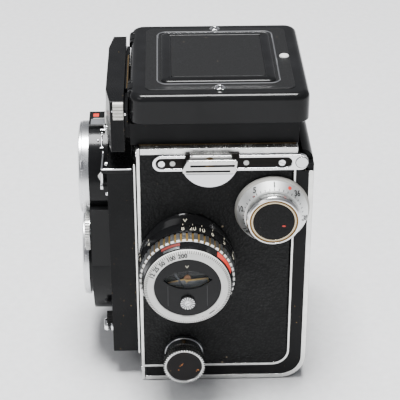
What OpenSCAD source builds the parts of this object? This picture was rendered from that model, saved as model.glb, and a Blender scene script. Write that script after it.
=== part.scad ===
// Twin lens reflex camera for 6 x 6 cm roll film.
// Origin at the mouth of the tripod socket. +Z is up, the lenses look along -Y,
// the focusing knob is on +X and the winding crank is on -X.

/* [Body] */
// Width over the two side faces
body_w = 80; // [79:0.5:81]
// Depth from the front plate to the back
body_d = 77; // [76.5:0.5:77.5]
// Height of the top deck
body_h = 123.5; // [123:0.5:124]
// Radius of the lower rear corner of the side faces
side_r = 8; // [6:0.5:10]
// Radius of the lower rear corner of the camera back
back_r = 12; // [11:0.5:13]

/* [Lenses] */
// Height of the taking lens axis
taking_z = 48.5; // [48:0.1:49]
// Distance between the two lens axes
lens_gap = 45; // [44.5:0.1:45.5]
// Outer radius of the bayonet rings
bezel_r = 21.6; // [21:0.1:22]
// Bore radius of the bayonet rings
bayonet_r = 17; // [16.5:0.1:17.5]
// Radius of the upper half of the lens housing
upper_house_r = 24.6; // [24.2:0.1:25]
// Radius of the lower half of the lens housing
lower_house_r = 28; // [27.5:0.1:28.5]
// Half distance between the speed wheel and the aperture wheel
wheel_x = 20.6; // [20.4:0.1:20.8]
// Radius of the two wheels
wheel_r = 8.6; // [8:0.1:8.7]

/* [Focusing knob] */
// Radius of the skirt that carries the distance scale
skirt_r = 21.7; // [21.5:0.1:22]
// Radius of the ribbed grip
grip_r = 21; // [20.8:0.1:21.4]
// Outer radius of the dial ring
dial_r = 19.2; // [19:0.1:19.4]
// Height of the knob face over the side
knob_h = 22.4; // [22:0.1:23]
// Depth position of the knob axis
knob_y = -17.1; // [-18:0.1:-17]
// Height of the knob axis
knob_z = 66.5; // [66:0.1:67]

/* [Spool knobs] */
// Radius of the film counter dial
counter_r = 16.6; // [16:0.1:17]
// Depth position of the upper spool axis
upper_y = 20.7; // [20.5:0.1:20.9]
// Height of the upper spool axis
upper_z = 93; // [92.8:0.1:93.2]
// Depth position of the lower spool axis
lower_y = -18.7; // [-18.9:0.1:-18.5]
// Height of the lower spool axis
lower_z = 16; // [15.9:0.1:16.1]

/* [Crank] */
// Depth position of the crank axis
crank_y = 2; // [0:0.5:4]
// Height of the crank axis
crank_z = 72; // [70:0.5:74]
// Length of the crank arm between its pivot and its grip
crank_len = 26; // [24:0.5:27]

/* [Hood] */
// Half width of the hood lid
lid_w = 39; // [38.6:0.1:39.4]
// Height of the top face of the lid
lid_z = 148.2; // [148:0.1:148.4]
// Height of the lid hinge axis
hinge_z = 145.5; // [145.4:0.1:145.6]

/* [Hidden] */
$fn = 64;
slip = 0.05;                            // running clearance between a shaft and its bore
half_w = body_w / 2;
front_y = -body_d / 2;
rear_y = body_d / 2;
skin_x = half_w - 0.4;                  // outer face of the side leather
wall_x = half_w - 1.1;                  // outer face of a wall casting
inner_x = half_w - 4;                   // inner face of a wall casting
plate_y = front_y + 1.6;                // rear face of the front plate
side_y = 30.7;                          // rear edge of a side face
side_z = 7.4;                           // lower edge of a side face
deck_z = body_h - 3;                    // lower face of the top deck
viewing_z = taking_z + lens_gap;
wheel_z = (taking_z + viewing_z) / 2;
stand_y = -51.7;                        // front face of the lens standard
house_y = stand_y - 8.8;                // front face of the lens housing
bezel_y = house_y - 4.9;                // front face of the bayonet rings
knob_x = half_w + knob_h;               // face of the focusing knob
pin_y = 33.4;                           // hinge axis of the back
pin_z = 115.1;
pin_r = 1;
strap_z = 116.65;                       // mid height of a strap plate
strap_r = 3.75;
spool_r = 13.4;                         // inner radius of a spool chamber
boss_r = 8.5;                           // collar under the counter dial
collar_r = 7.5;                         // neck of the collar under the lower knob
roller_y = 23.6;
roller_r = 1.6;
roller_top = 79;
roller_bottom = 17.8;
gate = 56;                              // side of the picture opening
mirror_c = 97.5;                        // the mirror face lies on z = y + mirror_c
lid_hinge_y = -40;
lid_pin_r = 0.9;
flap_z = 136;                           // hinge height of the folding flaps
flap_x = 33;                            // hinge axis of the side flaps
flap_y = 29.2;                          // hinge axis of the rear flap
flap_len = 29.5;
flap_pin_r = 0.5;
socket_r = 3.175;                       // 1/4 inch tripod thread
release_x = -25;
release_z = 21.6;
lever_x = 29;
lever_z = 100;
arm_x = -47;                            // mid plane of the crank arm
crank_top = crank_z + 7;                // pivot axis of the crank arm

// ---------- shared shapes ----------

// Box between two corners
module block(a, b) {
  translate(a) cube(b - a);
}

// Round bar along X, Y or Z
module bar_x(x0, x1, y, z, r) {
  translate([x0, y, z]) rotate([0, 90, 0]) cylinder(h = x1 - x0, r = r);
}
module bar_y(y0, y1, x, z, r) {
  translate([x, y0, z]) rotate([-90, 0, 0]) cylinder(h = y1 - y0, r = r);
}
module bar_z(z0, z1, x, y, r) {
  translate([x, y, z0]) cylinder(h = z1 - z0, r = r);
}

// Cone along X between two radii
module cone_x(x0, x1, y, z, r0, r1) {
  translate([x0, y, z]) rotate([0, 90, 0]) cylinder(h = x1 - x0, r1 = r0, r2 = r1);
}

// Hollow bars
module tube_x(x0, x1, y, z, ro, ri) {
  difference() {
    bar_x(x0, x1, y, z, ro);
    bar_x(x0 - 1, x1 + 1, y, z, ri);
  }
}
module tube_y(y0, y1, x, z, ro, ri) {
  difference() {
    bar_y(y0, y1, x, z, ro);
    bar_y(y0 - 1, y1 + 1, x, z, ri);
  }
}

// A profile drawn in (y, z), extruded along X
module slab_x(x0, x1) {
  translate([x0, 0, 0]) rotate([90, 0, 90]) linear_extrude(x1 - x0) children();
}
// A profile drawn in (x, z), extruded along Y
module slab_y(y0, y1) {
  translate([0, y1, 0]) rotate([90, 0, 0]) linear_extrude(y1 - y0) children();
}
// A profile drawn in (x, y), extruded along Z
module slab_z(z0, z1) {
  translate([0, 0, z0]) linear_extrude(z1 - z0) children();
}

// Both sides of the camera
module both_sides() {
  children();
  mirror([1, 0, 0]) children();
}

// Rectangle between two corners, and one with round corners
module rect(a, b) {
  translate(a) square(b - a);
}
module round_rect(a, b, r) {
  rect([a[0] + r, a[1]], [b[0] - r, b[1]]);
  rect([a[0], a[1] + r], [b[0], b[1] - r]);
  for (x = [a[0] + r, b[0] - r], y = [a[1] + r, b[1] - r]) translate([x, y]) circle(r);
}

// Side profile of the body, inset from its lower and rear edges
module side_profile(inset_y, inset_z, top) {
  r = side_r - inset_y;
  difference() {
    round_rect([plate_y - 3 * side_r, side_z + inset_z], [side_y - inset_y, top + 3 * side_r], r);
    rect([plate_y - 4 * side_r, 0], [plate_y, top + 4 * side_r]);
    rect([plate_y - 4 * side_r, top], [rear_y, top + 4 * side_r]);
  }
}

// Flat strip of a given thickness beside the line from p to q
module strip(p, q, t) {
  d = (q - p) / norm(q - p);
  n = [d[1], -d[0]];
  polygon([p, q, q + t * n, p + t * n]);
}

// ---------- fixed body ----------

module front_plate() {
  color("#1b1b1c") slab_y(front_y, plate_y) difference() {
    rect([-half_w + 1.4, 0], [half_w - 1.4, body_h]);
    rect([-33.6, 16.4], [33.6, 109.6]);
  }
}

// A wall casting with its lower rear corner rounded and its roller bearings
module wall() {
  difference() {
    slab_x(inner_x, wall_x) side_profile(0, 0, deck_z);
    for (z = [roller_top, roller_bottom])
      bar_x(inner_x - 1, wall_x + 1, roller_y, z, 0.8 + slip);
  }
}
module left_wall() {
  color("#2a2b2d") difference() {
    wall();
    bar_x(0, half_w, upper_y, upper_z, 4 + slip);
    bar_x(0, half_w, lower_y, lower_z, 4 + slip);
    bar_x(0, half_w, knob_y, knob_z, 4 + slip);
  }
}
module right_wall() {
  color("#2a2b2d") difference() {
    mirror([1, 0, 0]) wall();
    bar_x(-half_w, 0, crank_y, crank_z, 4 + slip);
  }
}

module top_deck() {
  color("#c3c5c8") difference() {
    block([-half_w, plate_y, deck_z], [half_w, side_y + 0.5, body_h]);
    block([-28.5, -31.5, deck_z - 1], [28.5, 24.5, body_h + 1]);
    block([-31, -33.5, body_h - 1.6], [31, 26.5, body_h + 1]);
  }
}

// Partitions of the taking chamber, the mirror carrier and the two spool chambers
module light_box() {
  lip = 1.2;
  back = [0.7071, -0.7071];
  low = [-29.5, mirror_c - 29.5];
  high = [20.5, mirror_c + 20.5];
  color("#202122") slab_x(-inner_x, inner_x) difference() {
    union() {
      strip(low + 2 * back, high + 2 * back, 1.6);
      strip([-33.5, 67], [-29, 67], lip);
      strip([-29.6, 67], [19.4, 77.2], lip);
      strip([-31.5, 33], [20, 21.6], lip);
      intersection() {
        translate([upper_y, upper_z]) difference() {
          circle(spool_r + 1);
          circle(spool_r);
        }
        rect([0, upper_z - 20], [upper_y - 1, upper_z + 20]);
      }
      intersection() {
        translate([lower_y, lower_z]) difference() {
          circle(spool_r + 1);
          circle(spool_r);
        }
        rect([front_y, lower_z - 8], [lower_y + 7, lower_z + 20]);
      }
      rect([upper_y - 1.2, upper_z + spool_r], [29.5, upper_z + spool_r + lip]);
    }
    // seat of the mirror
    strip(low, high, 2.05);
  }
}

module film_gate() {
  color("#8f9296") {
    slab_y(23.4, 25) difference() {
      rect([-inner_x, 19.6], [inner_x, 77.2]);
      rect([-gate / 2, taking_z - gate / 2], [gate / 2, taking_z + gate / 2]);
    }
    both_sides() block([29.2, 25, 21], [30.4, 25.4, 76]);
  }
}

module viewing_mirror() {
  color("#dfe6ea") slab_x(-30, 30)
    strip([-29.5, mirror_c - 29.5], [20.5, mirror_c + 20.5], 2);
}

module focusing_screen() {
  color("#e8ecec") block([-30.9, -33.4, body_h - 1.6], [30.9, 26.4, body_h - 0.2]);
}

module hood_base() {
  rim_z = 133.6;
  color("#171718") {
    difference() {
      block([-36, -40.9, body_h], [36, 31.8, rim_z]);
      block([-34.6, -39.5, body_h - 1], [34.6, 30.4, rim_z + 1]);
    }
    // ears of the lid hinge
    both_sides() difference() {
      union() {
        block([24, -40.9, rim_z - 1], [29, -39.1, hinge_z]);
        bar_x(24, 29, lid_hinge_y, hinge_z, 1.9);
      }
      bar_x(23, 30, lid_hinge_y, hinge_z, lid_pin_r);
    }
    // posts of the flap hinges
    both_sides() for (y = [[-30.2, -28.8], [25.8, 27.2]]) difference() {
      block([31.9, y[0], rim_z - 5], [34.6, y[1], flap_z + 1.1]);
      bar_y(-31, 28, flap_x, flap_z, flap_pin_r);
    }
    both_sides() difference() {
      block([30.8, flap_y - 1.1, rim_z - 5], [32.2, 30.4, flap_z + 1.1]);
      bar_x(30, 33, flap_y, flap_z, flap_pin_r);
    }
  }
}

module side_leathers() {
  color("#161617") difference() {
    both_sides() slab_x(wall_x, skin_x) side_profile(1.35, 0.9, deck_z);
    bar_x(0, half_w, knob_y, knob_z, 12);
    bar_x(0, half_w, upper_y, upper_z, boss_r);
    bar_x(0, half_w, lower_y, lower_z, collar_r);
    bar_x(-half_w, 0, crank_y, crank_z, 11);
  }
}

// Bright edges: front uprights, lower and rear lines, and the frame round the standard
module body_trims() {
  color("#d4d6d8") {
    both_sides() block([half_w - 1.4, front_y, 0], [half_w, front_y + 1.3, body_h]);
    both_sides() slab_x(wall_x, half_w) difference() {
      side_profile(0, 0, 112.7);
      side_profile(1.35, 0.9, 115);
    }
    slab_y(front_y - 1.5, front_y) difference() {
      rect([-36.2, 12.3], [36.2, 113.8]);
      rect([-34.9, 13.6], [34.9, 112.5]);
    }
  }
}

// Stadium plate with a sunk centre and the eye of the back hinge
module strap_plates() {
  y0 = -31.6;
  y1 = 35.9;
  color("#cfd1d3") both_sides() difference() {
    slab_x(skin_x, half_w + 1.2)
      round_rect([y0, strap_z - strap_r], [y1, strap_z + strap_r], strap_r - 0.01);
    slab_x(half_w + 0.8, half_w + 2)
      round_rect([y0 + 1.4, strap_z - 2.45], [y1 - 7.1, strap_z + 2.55], 2.45);
    bar_x(0, half_w + 3, pin_y, pin_z, pin_r);
  }
}

// Half-moon lug with two slots, and the catch over it with its half-round notch
module strap_lugs() {
  lug_y = -7;
  color("#d9dadb") both_sides() {
    block([half_w + 0.8, lug_y - 9, 114.3], [half_w + 1.3, lug_y + 9, 118.7]);
    difference() {
      slab_x(half_w + 1.2, half_w + 4.6) intersection() {
        translate([lug_y, 118.2]) circle(12.3);
        rect([lug_y - 13, 100], [lug_y + 13, 119.9]);
      }
      block([half_w + 2.2, lug_y - 10.2, 117], [half_w + 5, lug_y + 10.2, 118.5]);
      block([half_w + 2.2, lug_y - 9.8, 114], [half_w + 5, lug_y + 9.8, 115.6]);
    }
    difference() {
      block([half_w + 1.2, lug_y - 8.5, 119], [half_w + 3, lug_y + 8.5, 121.4]);
      bar_x(half_w + 1, half_w + 4, lug_y, 118.6, 2.1);
    }
  }
}

// Slotted screw head facing +X
module screw_x(x, y, z, r) {
  difference() {
    bar_x(x, x + 0.5, y, z, r);
    block([x + 0.25, y - r, z - 0.2], [x + 1, y + r, z + 0.2]);
  }
}
module body_screws() {
  color("#c9cacc") {
    both_sides() {
      for (y = [-27.7, 24.4]) screw_x(half_w + 0.8, y, strap_z, 1.5);
      for (y = [-22.9, 8.9]) bar_x(half_w + 0.8, half_w + 1.2, y, strap_z, 0.9);
    }
    both_sides() for (z = [4, 119]) bar_y(front_y - 0.4, front_y, 36, z, 1.3);
  }
}

// Meter head over the standard, with a hollow for the light cell
module meter_head() {
  color("#141415") difference() {
    union() {
      slab_z(119.6, 143.7) polygon([[-35, -43.4], [35, -43.4], [35, -49.4], [22.5, -51.4],
        [-22.5, -51.4], [-35, -49.4]]);
      block([-30, -43.4, 124], [30, -40.9, 131]);
    }
    block([-24, -52, 121.5], [24, -46, 131.5]);
    block([-20, -52, 134.5], [20, -51, 141]);
  }
}

module meter_cell() {
  color("#9fa6a8") block([-23.9, -50.9, 121.5], [23.9, -49.7, 131.5]);
}

module contact_block() {
  color("#e4e4e0") difference() {
    block([35, -48, 136], [37, -43.6, 143.5]);
    for (z = [137.2 : 1.5 : 143]) block([36.3, -49, z], [38, -43, z + 0.6]);
  }
}

module hinge_pins() {
  color("#b8babd") {
    bar_x(-half_w - 1.1, half_w + 1.1, pin_y, pin_z, pin_r);
    both_sides() bar_x(20.8, 32.2, lid_hinge_y, hinge_z, lid_pin_r);
    both_sides() bar_y(-30.1, 27.1, flap_x, flap_z, flap_pin_r);
    bar_x(-32.1, 32.1, flap_y, flap_z, flap_pin_r);
  }
}

// Fixed collars under the lower knob, the counter dial and the crank
module side_bosses() {
  color("#7d8084") {
    tube_x(wall_x, half_w + 0.2, lower_y, lower_z, collar_r, 4 + slip);
    tube_x(half_w + 0.1, half_w + 2.2, lower_y, lower_z, 9, 4 + slip);
    tube_x(half_w + 2.1, half_w + 5.2, lower_y, lower_z, 8.6, 7.4 + slip);
    tube_x(wall_x, half_w, upper_y, upper_z, boss_r, 4 + slip);
    mirror([1, 0, 0]) tube_x(wall_x, half_w + 1.6, crank_y, crank_z, 11, 4 + slip);
  }
}

module film_roller(z) {
  bar_x(-inner_x + 0.4, inner_x - 0.4, roller_y, z, roller_r);
  bar_x(-inner_x - 1.8, inner_x + 1.8, roller_y, z, 0.8);
}
module lower_film_roller() {
  color("#a9acb0") film_roller(roller_bottom);
}
module upper_film_roller() {
  color("#a9acb0") film_roller(roller_top);
}

// ---------- lens standard ----------

module lens_standard() {
  shell_y = -40.4;
  boss_y = stand_y - 2.5;
  color("#151516") difference() {
    union() {
      difference() {
        block([-34.5, stand_y, 12.9], [34.5, shell_y, 110.8]);
        block([-32.7, stand_y + 2, 14.7], [32.7, shell_y + 1, 109]);
      }
      difference() {
        block([-33.2, shell_y - 2, 17], [33.2, -34.8, 109]);
        block([-31.7, shell_y - 3, 18.5], [31.7, -34, 107.5]);
      }
      // joins the light skirt to the shell
      slab_y(shell_y - 2, shell_y) difference() {
        rect([-34, 13.4], [34, 110.3]);
        rect([-31.7, 18.5], [31.7, 107.5]);
      }
      bar_y(boss_y, stand_y + 1, release_x, release_z, 5.2);
      bar_y(stand_y - 2, stand_y + 1, lever_x, lever_z, 1.4);
    }
    bar_y(-60, -48, 0, viewing_z, 15.5);
    bar_y(-60, -48, 0, taking_z, 20.1);
    bar_y(boss_y - 1, stand_y, release_x, release_z, 3.5);
    bar_y(stand_y - 1, stand_y + 5, release_x, release_z, 2.2 + slip);
  }
}

module lens_housing() {
  color("#121213") difference() {
    union() {
      bar_y(house_y, stand_y, 0, viewing_z, upper_house_r);
      bar_y(house_y, stand_y, 0, taking_z, lower_house_r);
      bar_y(house_y - 1.9, house_y, 0, taking_z, bezel_r - 1);
      block([-27, house_y, 56], [27, stand_y, 86]);
    }
    bar_y(-70, -50, 0, viewing_z, 15.5);
    bar_y(-70, -50, 0, taking_z, 20.1);
    both_sides() bar_y(-70, -57, wheel_x, wheel_z, 2 + slip);
  }
}

module lens_bezels() {
  color("#d6d7d8") {
    tube_y(bezel_y, house_y - 1.5, 0, viewing_z, bezel_r, bayonet_r);
    tube_y(house_y - 1.5, house_y, 0, viewing_z, bezel_r, 15.5);
    tube_y(bezel_y, house_y - 1.9, 0, taking_z, bezel_r, bayonet_r);
  }
}

// Lens element with a domed front face, turned about its axis
module element(y0, y1, z, r, dome_r) {
  translate([0, y0, z]) rotate([-90, 0, 0]) rotate_extrude() intersection() {
    translate([0, dome_r]) circle(dome_r, $fn = 256);
    square([r, y1 - y0]);
  }
}
module lens_glasses() {
  color("#5c6f86") {
    element(-62.1, -57.5, viewing_z, 15.3, 42);
    element(-60.2, -56, taking_z, 11.4, 30);
    bar_y(-54.5, -52.5, 0, viewing_z, 15.3);
    bar_y(-46.5, -44.5, 0, taking_z, 11.4);
  }
}

module shutter_housing() {
  nose_y = house_y - 1.8;
  color("#1d1e20") difference() {
    bar_y(nose_y, -44, 0, taking_z, 20);
    bar_y(nose_y - 1, -43, 0, taking_z, 11.4);
    translate([0, nose_y - 0.01, taking_z]) rotate([-90, 0, 0])
      cylinder(h = 2.2, r1 = 16.6, r2 = 11.4);
  }
}

// Five thin blades that close the lens opening
module shutter_blades() {
  blades = 5;
  seam = 0.1;
  color("#3a3b3d") for (i = [0 : blades - 1]) translate([0, -50, taking_z])
    rotate([90, i * 360 / blades, 0]) linear_extrude(0.5) intersection() {
      circle(11.3);
      polygon([[seam, seam], [20, seam], [20 * cos(72) + seam, 20 * sin(72) - seam]]);
    }
}

module peep_window() {
  color("#18181a") difference() {
    block([-7, house_y, 113], [7, -52.4, 118.7]);
    bar_y(-70, -50, 0, viewing_z, upper_house_r + 0.03);
  }
}

module sync_socket() {
  color("#cdcfd1") tube_y(stand_y - 4.4, stand_y, -release_x, release_z, 3.3, 1.75);
}

// Knurled thumb wheel with its spindle
module thumb_wheel(x) {
  teeth = 36;
  color("#d3d4d5") difference() {
    union() {
      bar_y(house_y - 2.7, house_y - 0.3, x, wheel_z, wheel_r);
      bar_y(house_y - 0.4, house_y + 3, x, wheel_z, 2);
    }
    for (i = [0 : teeth - 1]) translate([x, house_y - 3, wheel_z])
      rotate([0, i * 360 / teeth, 0]) translate([wheel_r, 0, 0])
        rotate([-90, 0, 0]) cylinder(h = 3, r = 0.28, $fn = 4);
  }
}
module speed_wheel() {
  thumb_wheel(-wheel_x);
}
module aperture_wheel() {
  thumb_wheel(wheel_x);
}

module shutter_release() {
  color("#d8d9da") {
    bar_y(stand_y - 6.9, stand_y - 3.3, release_x, release_z, 3.4);
    bar_y(stand_y - 3.4, stand_y + 2.2, release_x, release_z, 2.2);
  }
}

module timer_lever() {
  color("#dcdcda") {
    bar_y(stand_y - 3.4, stand_y - 2.1, lever_x, lever_z, 2.2);
    slab_y(stand_y - 3.4, stand_y - 2.1) polygon([[lever_x - 1.8, lever_z],
      [lever_x + 1.8, lever_z], [lever_x + 0.4, lever_z + 8], [lever_x - 0.4, lever_z + 8]]);
  }
}

// ---------- focusing knob and exposure meter ----------

module focus_knob() {
  color("#151516") difference() {
    cone_x(half_w + 3.6, half_w + 9.7, knob_y, knob_z, skirt_r, skirt_r - 0.3);
    bar_x(half_w, half_w + 12, knob_y, knob_z, 12 + slip);
  }
}

module focus_grip() {
  ribs = 50;
  color("#b7b3a6") difference() {
    tube_x(half_w + 9.7, half_w + 16.3, knob_y, knob_z, grip_r, 12 + slip);
    for (i = [0 : ribs - 1]) translate([half_w + 9.2, knob_y, knob_z])
      rotate([i * 360 / ribs, 0, 0]) translate([0, 0, grip_r]) rotate([0, 90, 0])
        cylinder(h = 9, r = 0.6, $fn = 4);
  }
}

// Eye-shaped window outline, with its centre over the knob axis
module eye() {
  r = 14.45;
  intersection() {
    translate([knob_y, knob_z + 4 - 9.6]) circle(r);
    translate([knob_y, knob_z + 4 + 9.6]) circle(r);
  }
}

// Fixed hub inside the knob, its black cone and the glossy centre with a window
module meter_housing() {
  cone0 = half_w + 16.5;
  cone1 = half_w + 20.6;
  centre_r = 14.7;
  color("#101011") difference() {
    union() {
      bar_x(inner_x + 0.2, half_w, knob_y, knob_z, 4);
      bar_x(skin_x - 0.7, cone0, knob_y, knob_z, 12);
      cone_x(cone0, cone1, knob_y, knob_z, 20.2, dial_r + 0.3);
      bar_x(cone0, knob_x - 0.4, knob_y, knob_z, centre_r);
    }
    bar_x(half_w + 17.6, knob_x - 1.5, knob_y, knob_z, 11.4);
    slab_x(knob_x - 2, knob_x) eye();
    bar_x(knob_x - 2, knob_x, knob_y, knob_z - 7.2, 1 + slip);
  }
}

module meter_window() {
  color("#cfd6d4") slab_x(knob_x - 1.4, knob_x - 0.7) eye();
}

module meter_dial_ring() {
  color("#d9dad8") difference() {
    tube_x(half_w + 20.7, knob_x, knob_y, knob_z, dial_r, 14.75);
    for (i = [0 : 47]) translate([half_w + 20, knob_y, knob_z]) rotate([i * 7.5, 0, 0])
      translate([0, 0, dial_r]) rotate([0, 90, 0]) cylinder(h = 5, r = 0.3, $fn = 4);
  }
}

// Pivoted at the foot of the window, resting to one side
module meter_needle() {
  px = half_w + 17.7;
  color("#d08a2c") {
    bar_x(px, px + 2.4, knob_y, knob_z - 4, 0.7);
    translate([px + 1.6, knob_y, knob_z - 4]) rotate([30, 0, 0])
      block([0, -0.35, 0], [0.4, 0.35, 11]);
  }
}

module film_speed_wheel() {
  color("#d6d7d8") {
    difference() {
      bar_x(knob_x - 0.3, knob_x + 1.3, knob_y, knob_z - 7.2, 3.2);
      for (i = [0 : 17]) translate([knob_x - 1, knob_y, knob_z - 7.2])
        rotate([i * 20, 0, 0]) translate([0, 0, 3.2]) rotate([0, 90, 0])
          cylinder(h = 4, r = 0.3, $fn = 4);
    }
    bar_x(knob_x - 1.4, knob_x - 0.3, knob_y, knob_z - 7.2, 1);
  }
}

// ---------- spool knobs ----------

module counter_dial() {
  seat_x = half_w + 0.2;
  color("#c8cacc") difference() {
    union() {
      cone_x(seat_x, half_w + 2.9, upper_y, upper_z, counter_r, counter_r - 0.9);
      cone_x(half_w + 2.9, half_w + 6.4, upper_y, upper_z, counter_r - 0.9, 12.6);
    }
    bar_x(0, half_w + 10, upper_y, upper_z, 5.2);
  }
}

// Key blade and shaft that turn the spool, with a knob outside
module spool_key(y, z, x0, x1) {
  bar_x(inner_x - 3, x1, y, z, 2.4);
  block([x0, y - 0.7, z - 2.4], [inner_x - 3, y + 0.7, z + 2.4]);
}
module upper_spool_knob() {
  color("#dfe0e0") {
    tube_x(half_w + 6.8, half_w + 11.6, upper_y, upper_z, 12.06, 10.4);
    bar_x(half_w + 6.8, half_w + 11.2, upper_y, upper_z, 10.4);
    spool_key(upper_y, upper_z, inner_x - 6.5, half_w + 7);
  }
}
module upper_sleeve() {
  color("#a4a7aa") tube_x(inner_x - 2.4, half_w + 6.5, upper_y, upper_z, 4, 2.4 + slip);
}
module lower_spool_knob() {
  color("#cfd0d0") {
    bar_x(half_w + 2.8, half_w + 6.4, lower_y, lower_z, 7.4);
    difference() {
      bar_x(half_w + 6.4, half_w + 12.1, lower_y, lower_z, 9.6);
      bar_x(half_w + 11.6, half_w + 13, lower_y, lower_z, 8.1);
      for (i = [0 : 44]) translate([half_w + 6, lower_y, lower_z]) rotate([i * 8, 0, 0])
        translate([0, 0, 9.6]) rotate([0, 90, 0]) cylinder(h = 7, r = 0.5, $fn = 4);
    }
    spool_key(lower_y, lower_z, inner_x - 6.5, half_w + 3);
  }
}
module lower_sleeve() {
  color("#a4a7aa") tube_x(inner_x - 2.4, half_w + 2.5, lower_y, lower_z, 4, 2.4 + slip);
}

// ---------- camera back ----------

// Area behind and under the body in the side view, out to the outline of the back
module back_outline(inset) {
  r = back_r - inset;
  difference() {
    round_rect([-4 * body_d, inset], [rear_y - inset, 4 * body_h], r);
    rect([-5 * body_d, -1], [plate_y + 0.3, 5 * body_h]);
    rect([-5 * body_d, pin_z], [body_d, 5 * body_h]);
  }
}
module camera_back() {
  gap = 0.25;
  recess_r = 12.9;
  reach = 24.6;
  color("#19191a") difference() {
    union() {
      slab_x(-skin_x + 0.3, skin_x - 0.3) difference() {
        back_outline(0);
        back_outline(2.4);
      }
      // side bands, up to the strap plates
      both_sides() slab_x(half_w - 1.6, half_w) intersection() {
        difference() {
          back_outline(0);
          side_profile(-gap, -gap, 3 * body_h);
        }
        rect([plate_y + 0.3, 0], [rear_y, 111.9]);
      }
      // hinge barrel, its web and the round top
      bar_x(-skin_x + 0.4, skin_x - 0.4, pin_y, pin_z, 2.2);
      block([-skin_x + 0.4, pin_y, pin_z - 2.2], [skin_x - 0.4, rear_y - 1, pin_z]);
      slab_x(-inner_x + 0.3, inner_x - 0.3) intersection() {
        translate([pin_y, pin_z]) difference() {
          circle(rear_y - pin_y);
          circle(rear_y - pin_y - 2.2);
        }
        rect([pin_y, pin_z - 0.1], [rear_y, pin_z + 10]);
      }
      // floor over the lock recess
      bar_z(1.6, 3.2, 0, 0, recess_r + 1);
      slab_z(1.6, 3.2) intersection() {
        circle(reach + 1);
        rect([-2, -2], [reach + 2, reach + 2]);
      }
    }
    bar_x(-half_w, half_w, pin_y, pin_z, pin_r + slip);
    bar_z(-1, 10, 0, 0, 8);
    bar_z(-1, 1.6, 0, 0, recess_r);
    slab_z(-1, 1.6) intersection() {
      circle(reach);
      polygon([[0, 0], [4, -4], [30, -4], [30, 30], [-4, 30], [-4, 4]]);
    }
  }
}

module back_leather() {
  color("#161617") slab_y(rear_y, rear_y + 0.3)
    round_rect([-half_w + 2.6, back_r + 1], [half_w - 2.6, 108], 2);
}

module pressure_plate() {
  color("#2c2d30") {
    block([-31, 25.8, 19], [31, 27, 78]);
    for (x = [-20, 20], z = [31, 66]) bar_y(27, 34.4, x, z, 3);
  }
}

module back_lock_lever() {
  color("#c6c8ca") slab_z(0.2, 1.4) difference() {
    union() {
      circle(12.6);
      round_rect([8, -3], [24, 3], 2.5);
    }
    circle(8.2 + slip);
  }
}

module tripod_bush() {
  color("#c9ccce") difference() {
    union() {
      bar_z(0, 6.2, 0, 0, 8);
      bar_z(3.2, 4.6, 0, 0, 10);
    }
    bar_z(-1, 5.2, 0, 0, socket_r);
  }
}

// ---------- hood ----------

module hood_lid() {
  skirt_z = 134.6;
  lid_y0 = -41;
  lid_y1 = 36;
  wall_t = 1.4;
  corner_r = 6;
  color("#171718") difference() {
    union() {
      slab_z(skirt_z, lid_z) round_rect([-lid_w, lid_y0], [lid_w, lid_y1], corner_r);
      both_sides() for (x = [21, 29.8])
        bar_x(x, x + 2.2, lid_hinge_y, hinge_z, 1.9);
    }
    difference() {
      slab_z(skirt_z - 1, lid_z - 1.8) round_rect([-lid_w + wall_t, lid_y0 + wall_t],
        [lid_w - wall_t, lid_y1 - wall_t], corner_r - wall_t);
      both_sides() for (x = [21, 29.8])
        bar_x(x, x + 2.2, lid_hinge_y, hinge_z, 1.9);
    }
    both_sides() block([23.5, lid_y0 - 2, skirt_z - 1], [29.5, -38, lid_z - 0.7]);
    both_sides() bar_x(20, 33, lid_hinge_y, hinge_z, lid_pin_r + slip);
  }
}

module finder_flap() {
  color("#19191a") difference() {
    slab_z(lid_z, lid_z + 1.2) round_rect([-26.8, -27.4], [26.8, 22.4], 2);
    slab_z(lid_z + 0.8, lid_z + 2) round_rect([-22.6, -23.2], [22.6, 18.7], 1);
  }
}

// Side flap with its mitred rear corner, on its hinge barrel
module side_flap() {
  mitre = 0.6;
  tip = flap_x - flap_len;
  difference() {
    union() {
      slab_z(flap_z - 0.4, flap_z + 0.4) polygon([[flap_x, -28.3], [flap_x, 25.5],
        [flap_x - (flap_y - mitre - 25.5), 25.5], [tip, flap_y - mitre - flap_len],
        [tip, -28.3]]);
      bar_y(-28.3, 25.5, flap_x, flap_z, 1.1);
    }
    bar_y(-29, 26, flap_x, flap_z, flap_pin_r + slip);
  }
}
module left_flap() {
  color("#1a1a1b") side_flap();
}
module right_flap() {
  color("#1a1a1b") mirror([1, 0, 0]) side_flap();
}

module rear_flap() {
  half = 30.5;
  mitre = 0.6;
  tip = flap_x - flap_len - mitre;
  color("#1a1a1b") difference() {
    union() {
      slab_z(flap_z - 0.4, flap_z + 0.4) polygon([[-half, flap_y], [half, flap_y],
        [half, flap_y - (flap_x - mitre - half)], [tip, flap_y - flap_len],
        [-tip, flap_y - flap_len], [-half, flap_y - (flap_x - mitre - half)]]);
      bar_x(-half, half, flap_y, flap_z, 1.1);
    }
    bar_x(-31, 31, flap_y, flap_z, flap_pin_r + slip);
  }
}

module magnifier_frame() {
  color("#8d9093") {
    slab_z(142.2, 143.8) difference() {
      round_rect([-14, -7.6], [14, 20], 3);
      translate([0, 6.8]) circle(11.5);
    }
    bar_x(-14, 14, -8, 143.8, 1.1);
  }
}

module magnifier_lens() {
  color("#cfdbe0") bar_z(142.2, 144.2, 0, 6.8, 11.5);
}

// ---------- crank ----------

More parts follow.
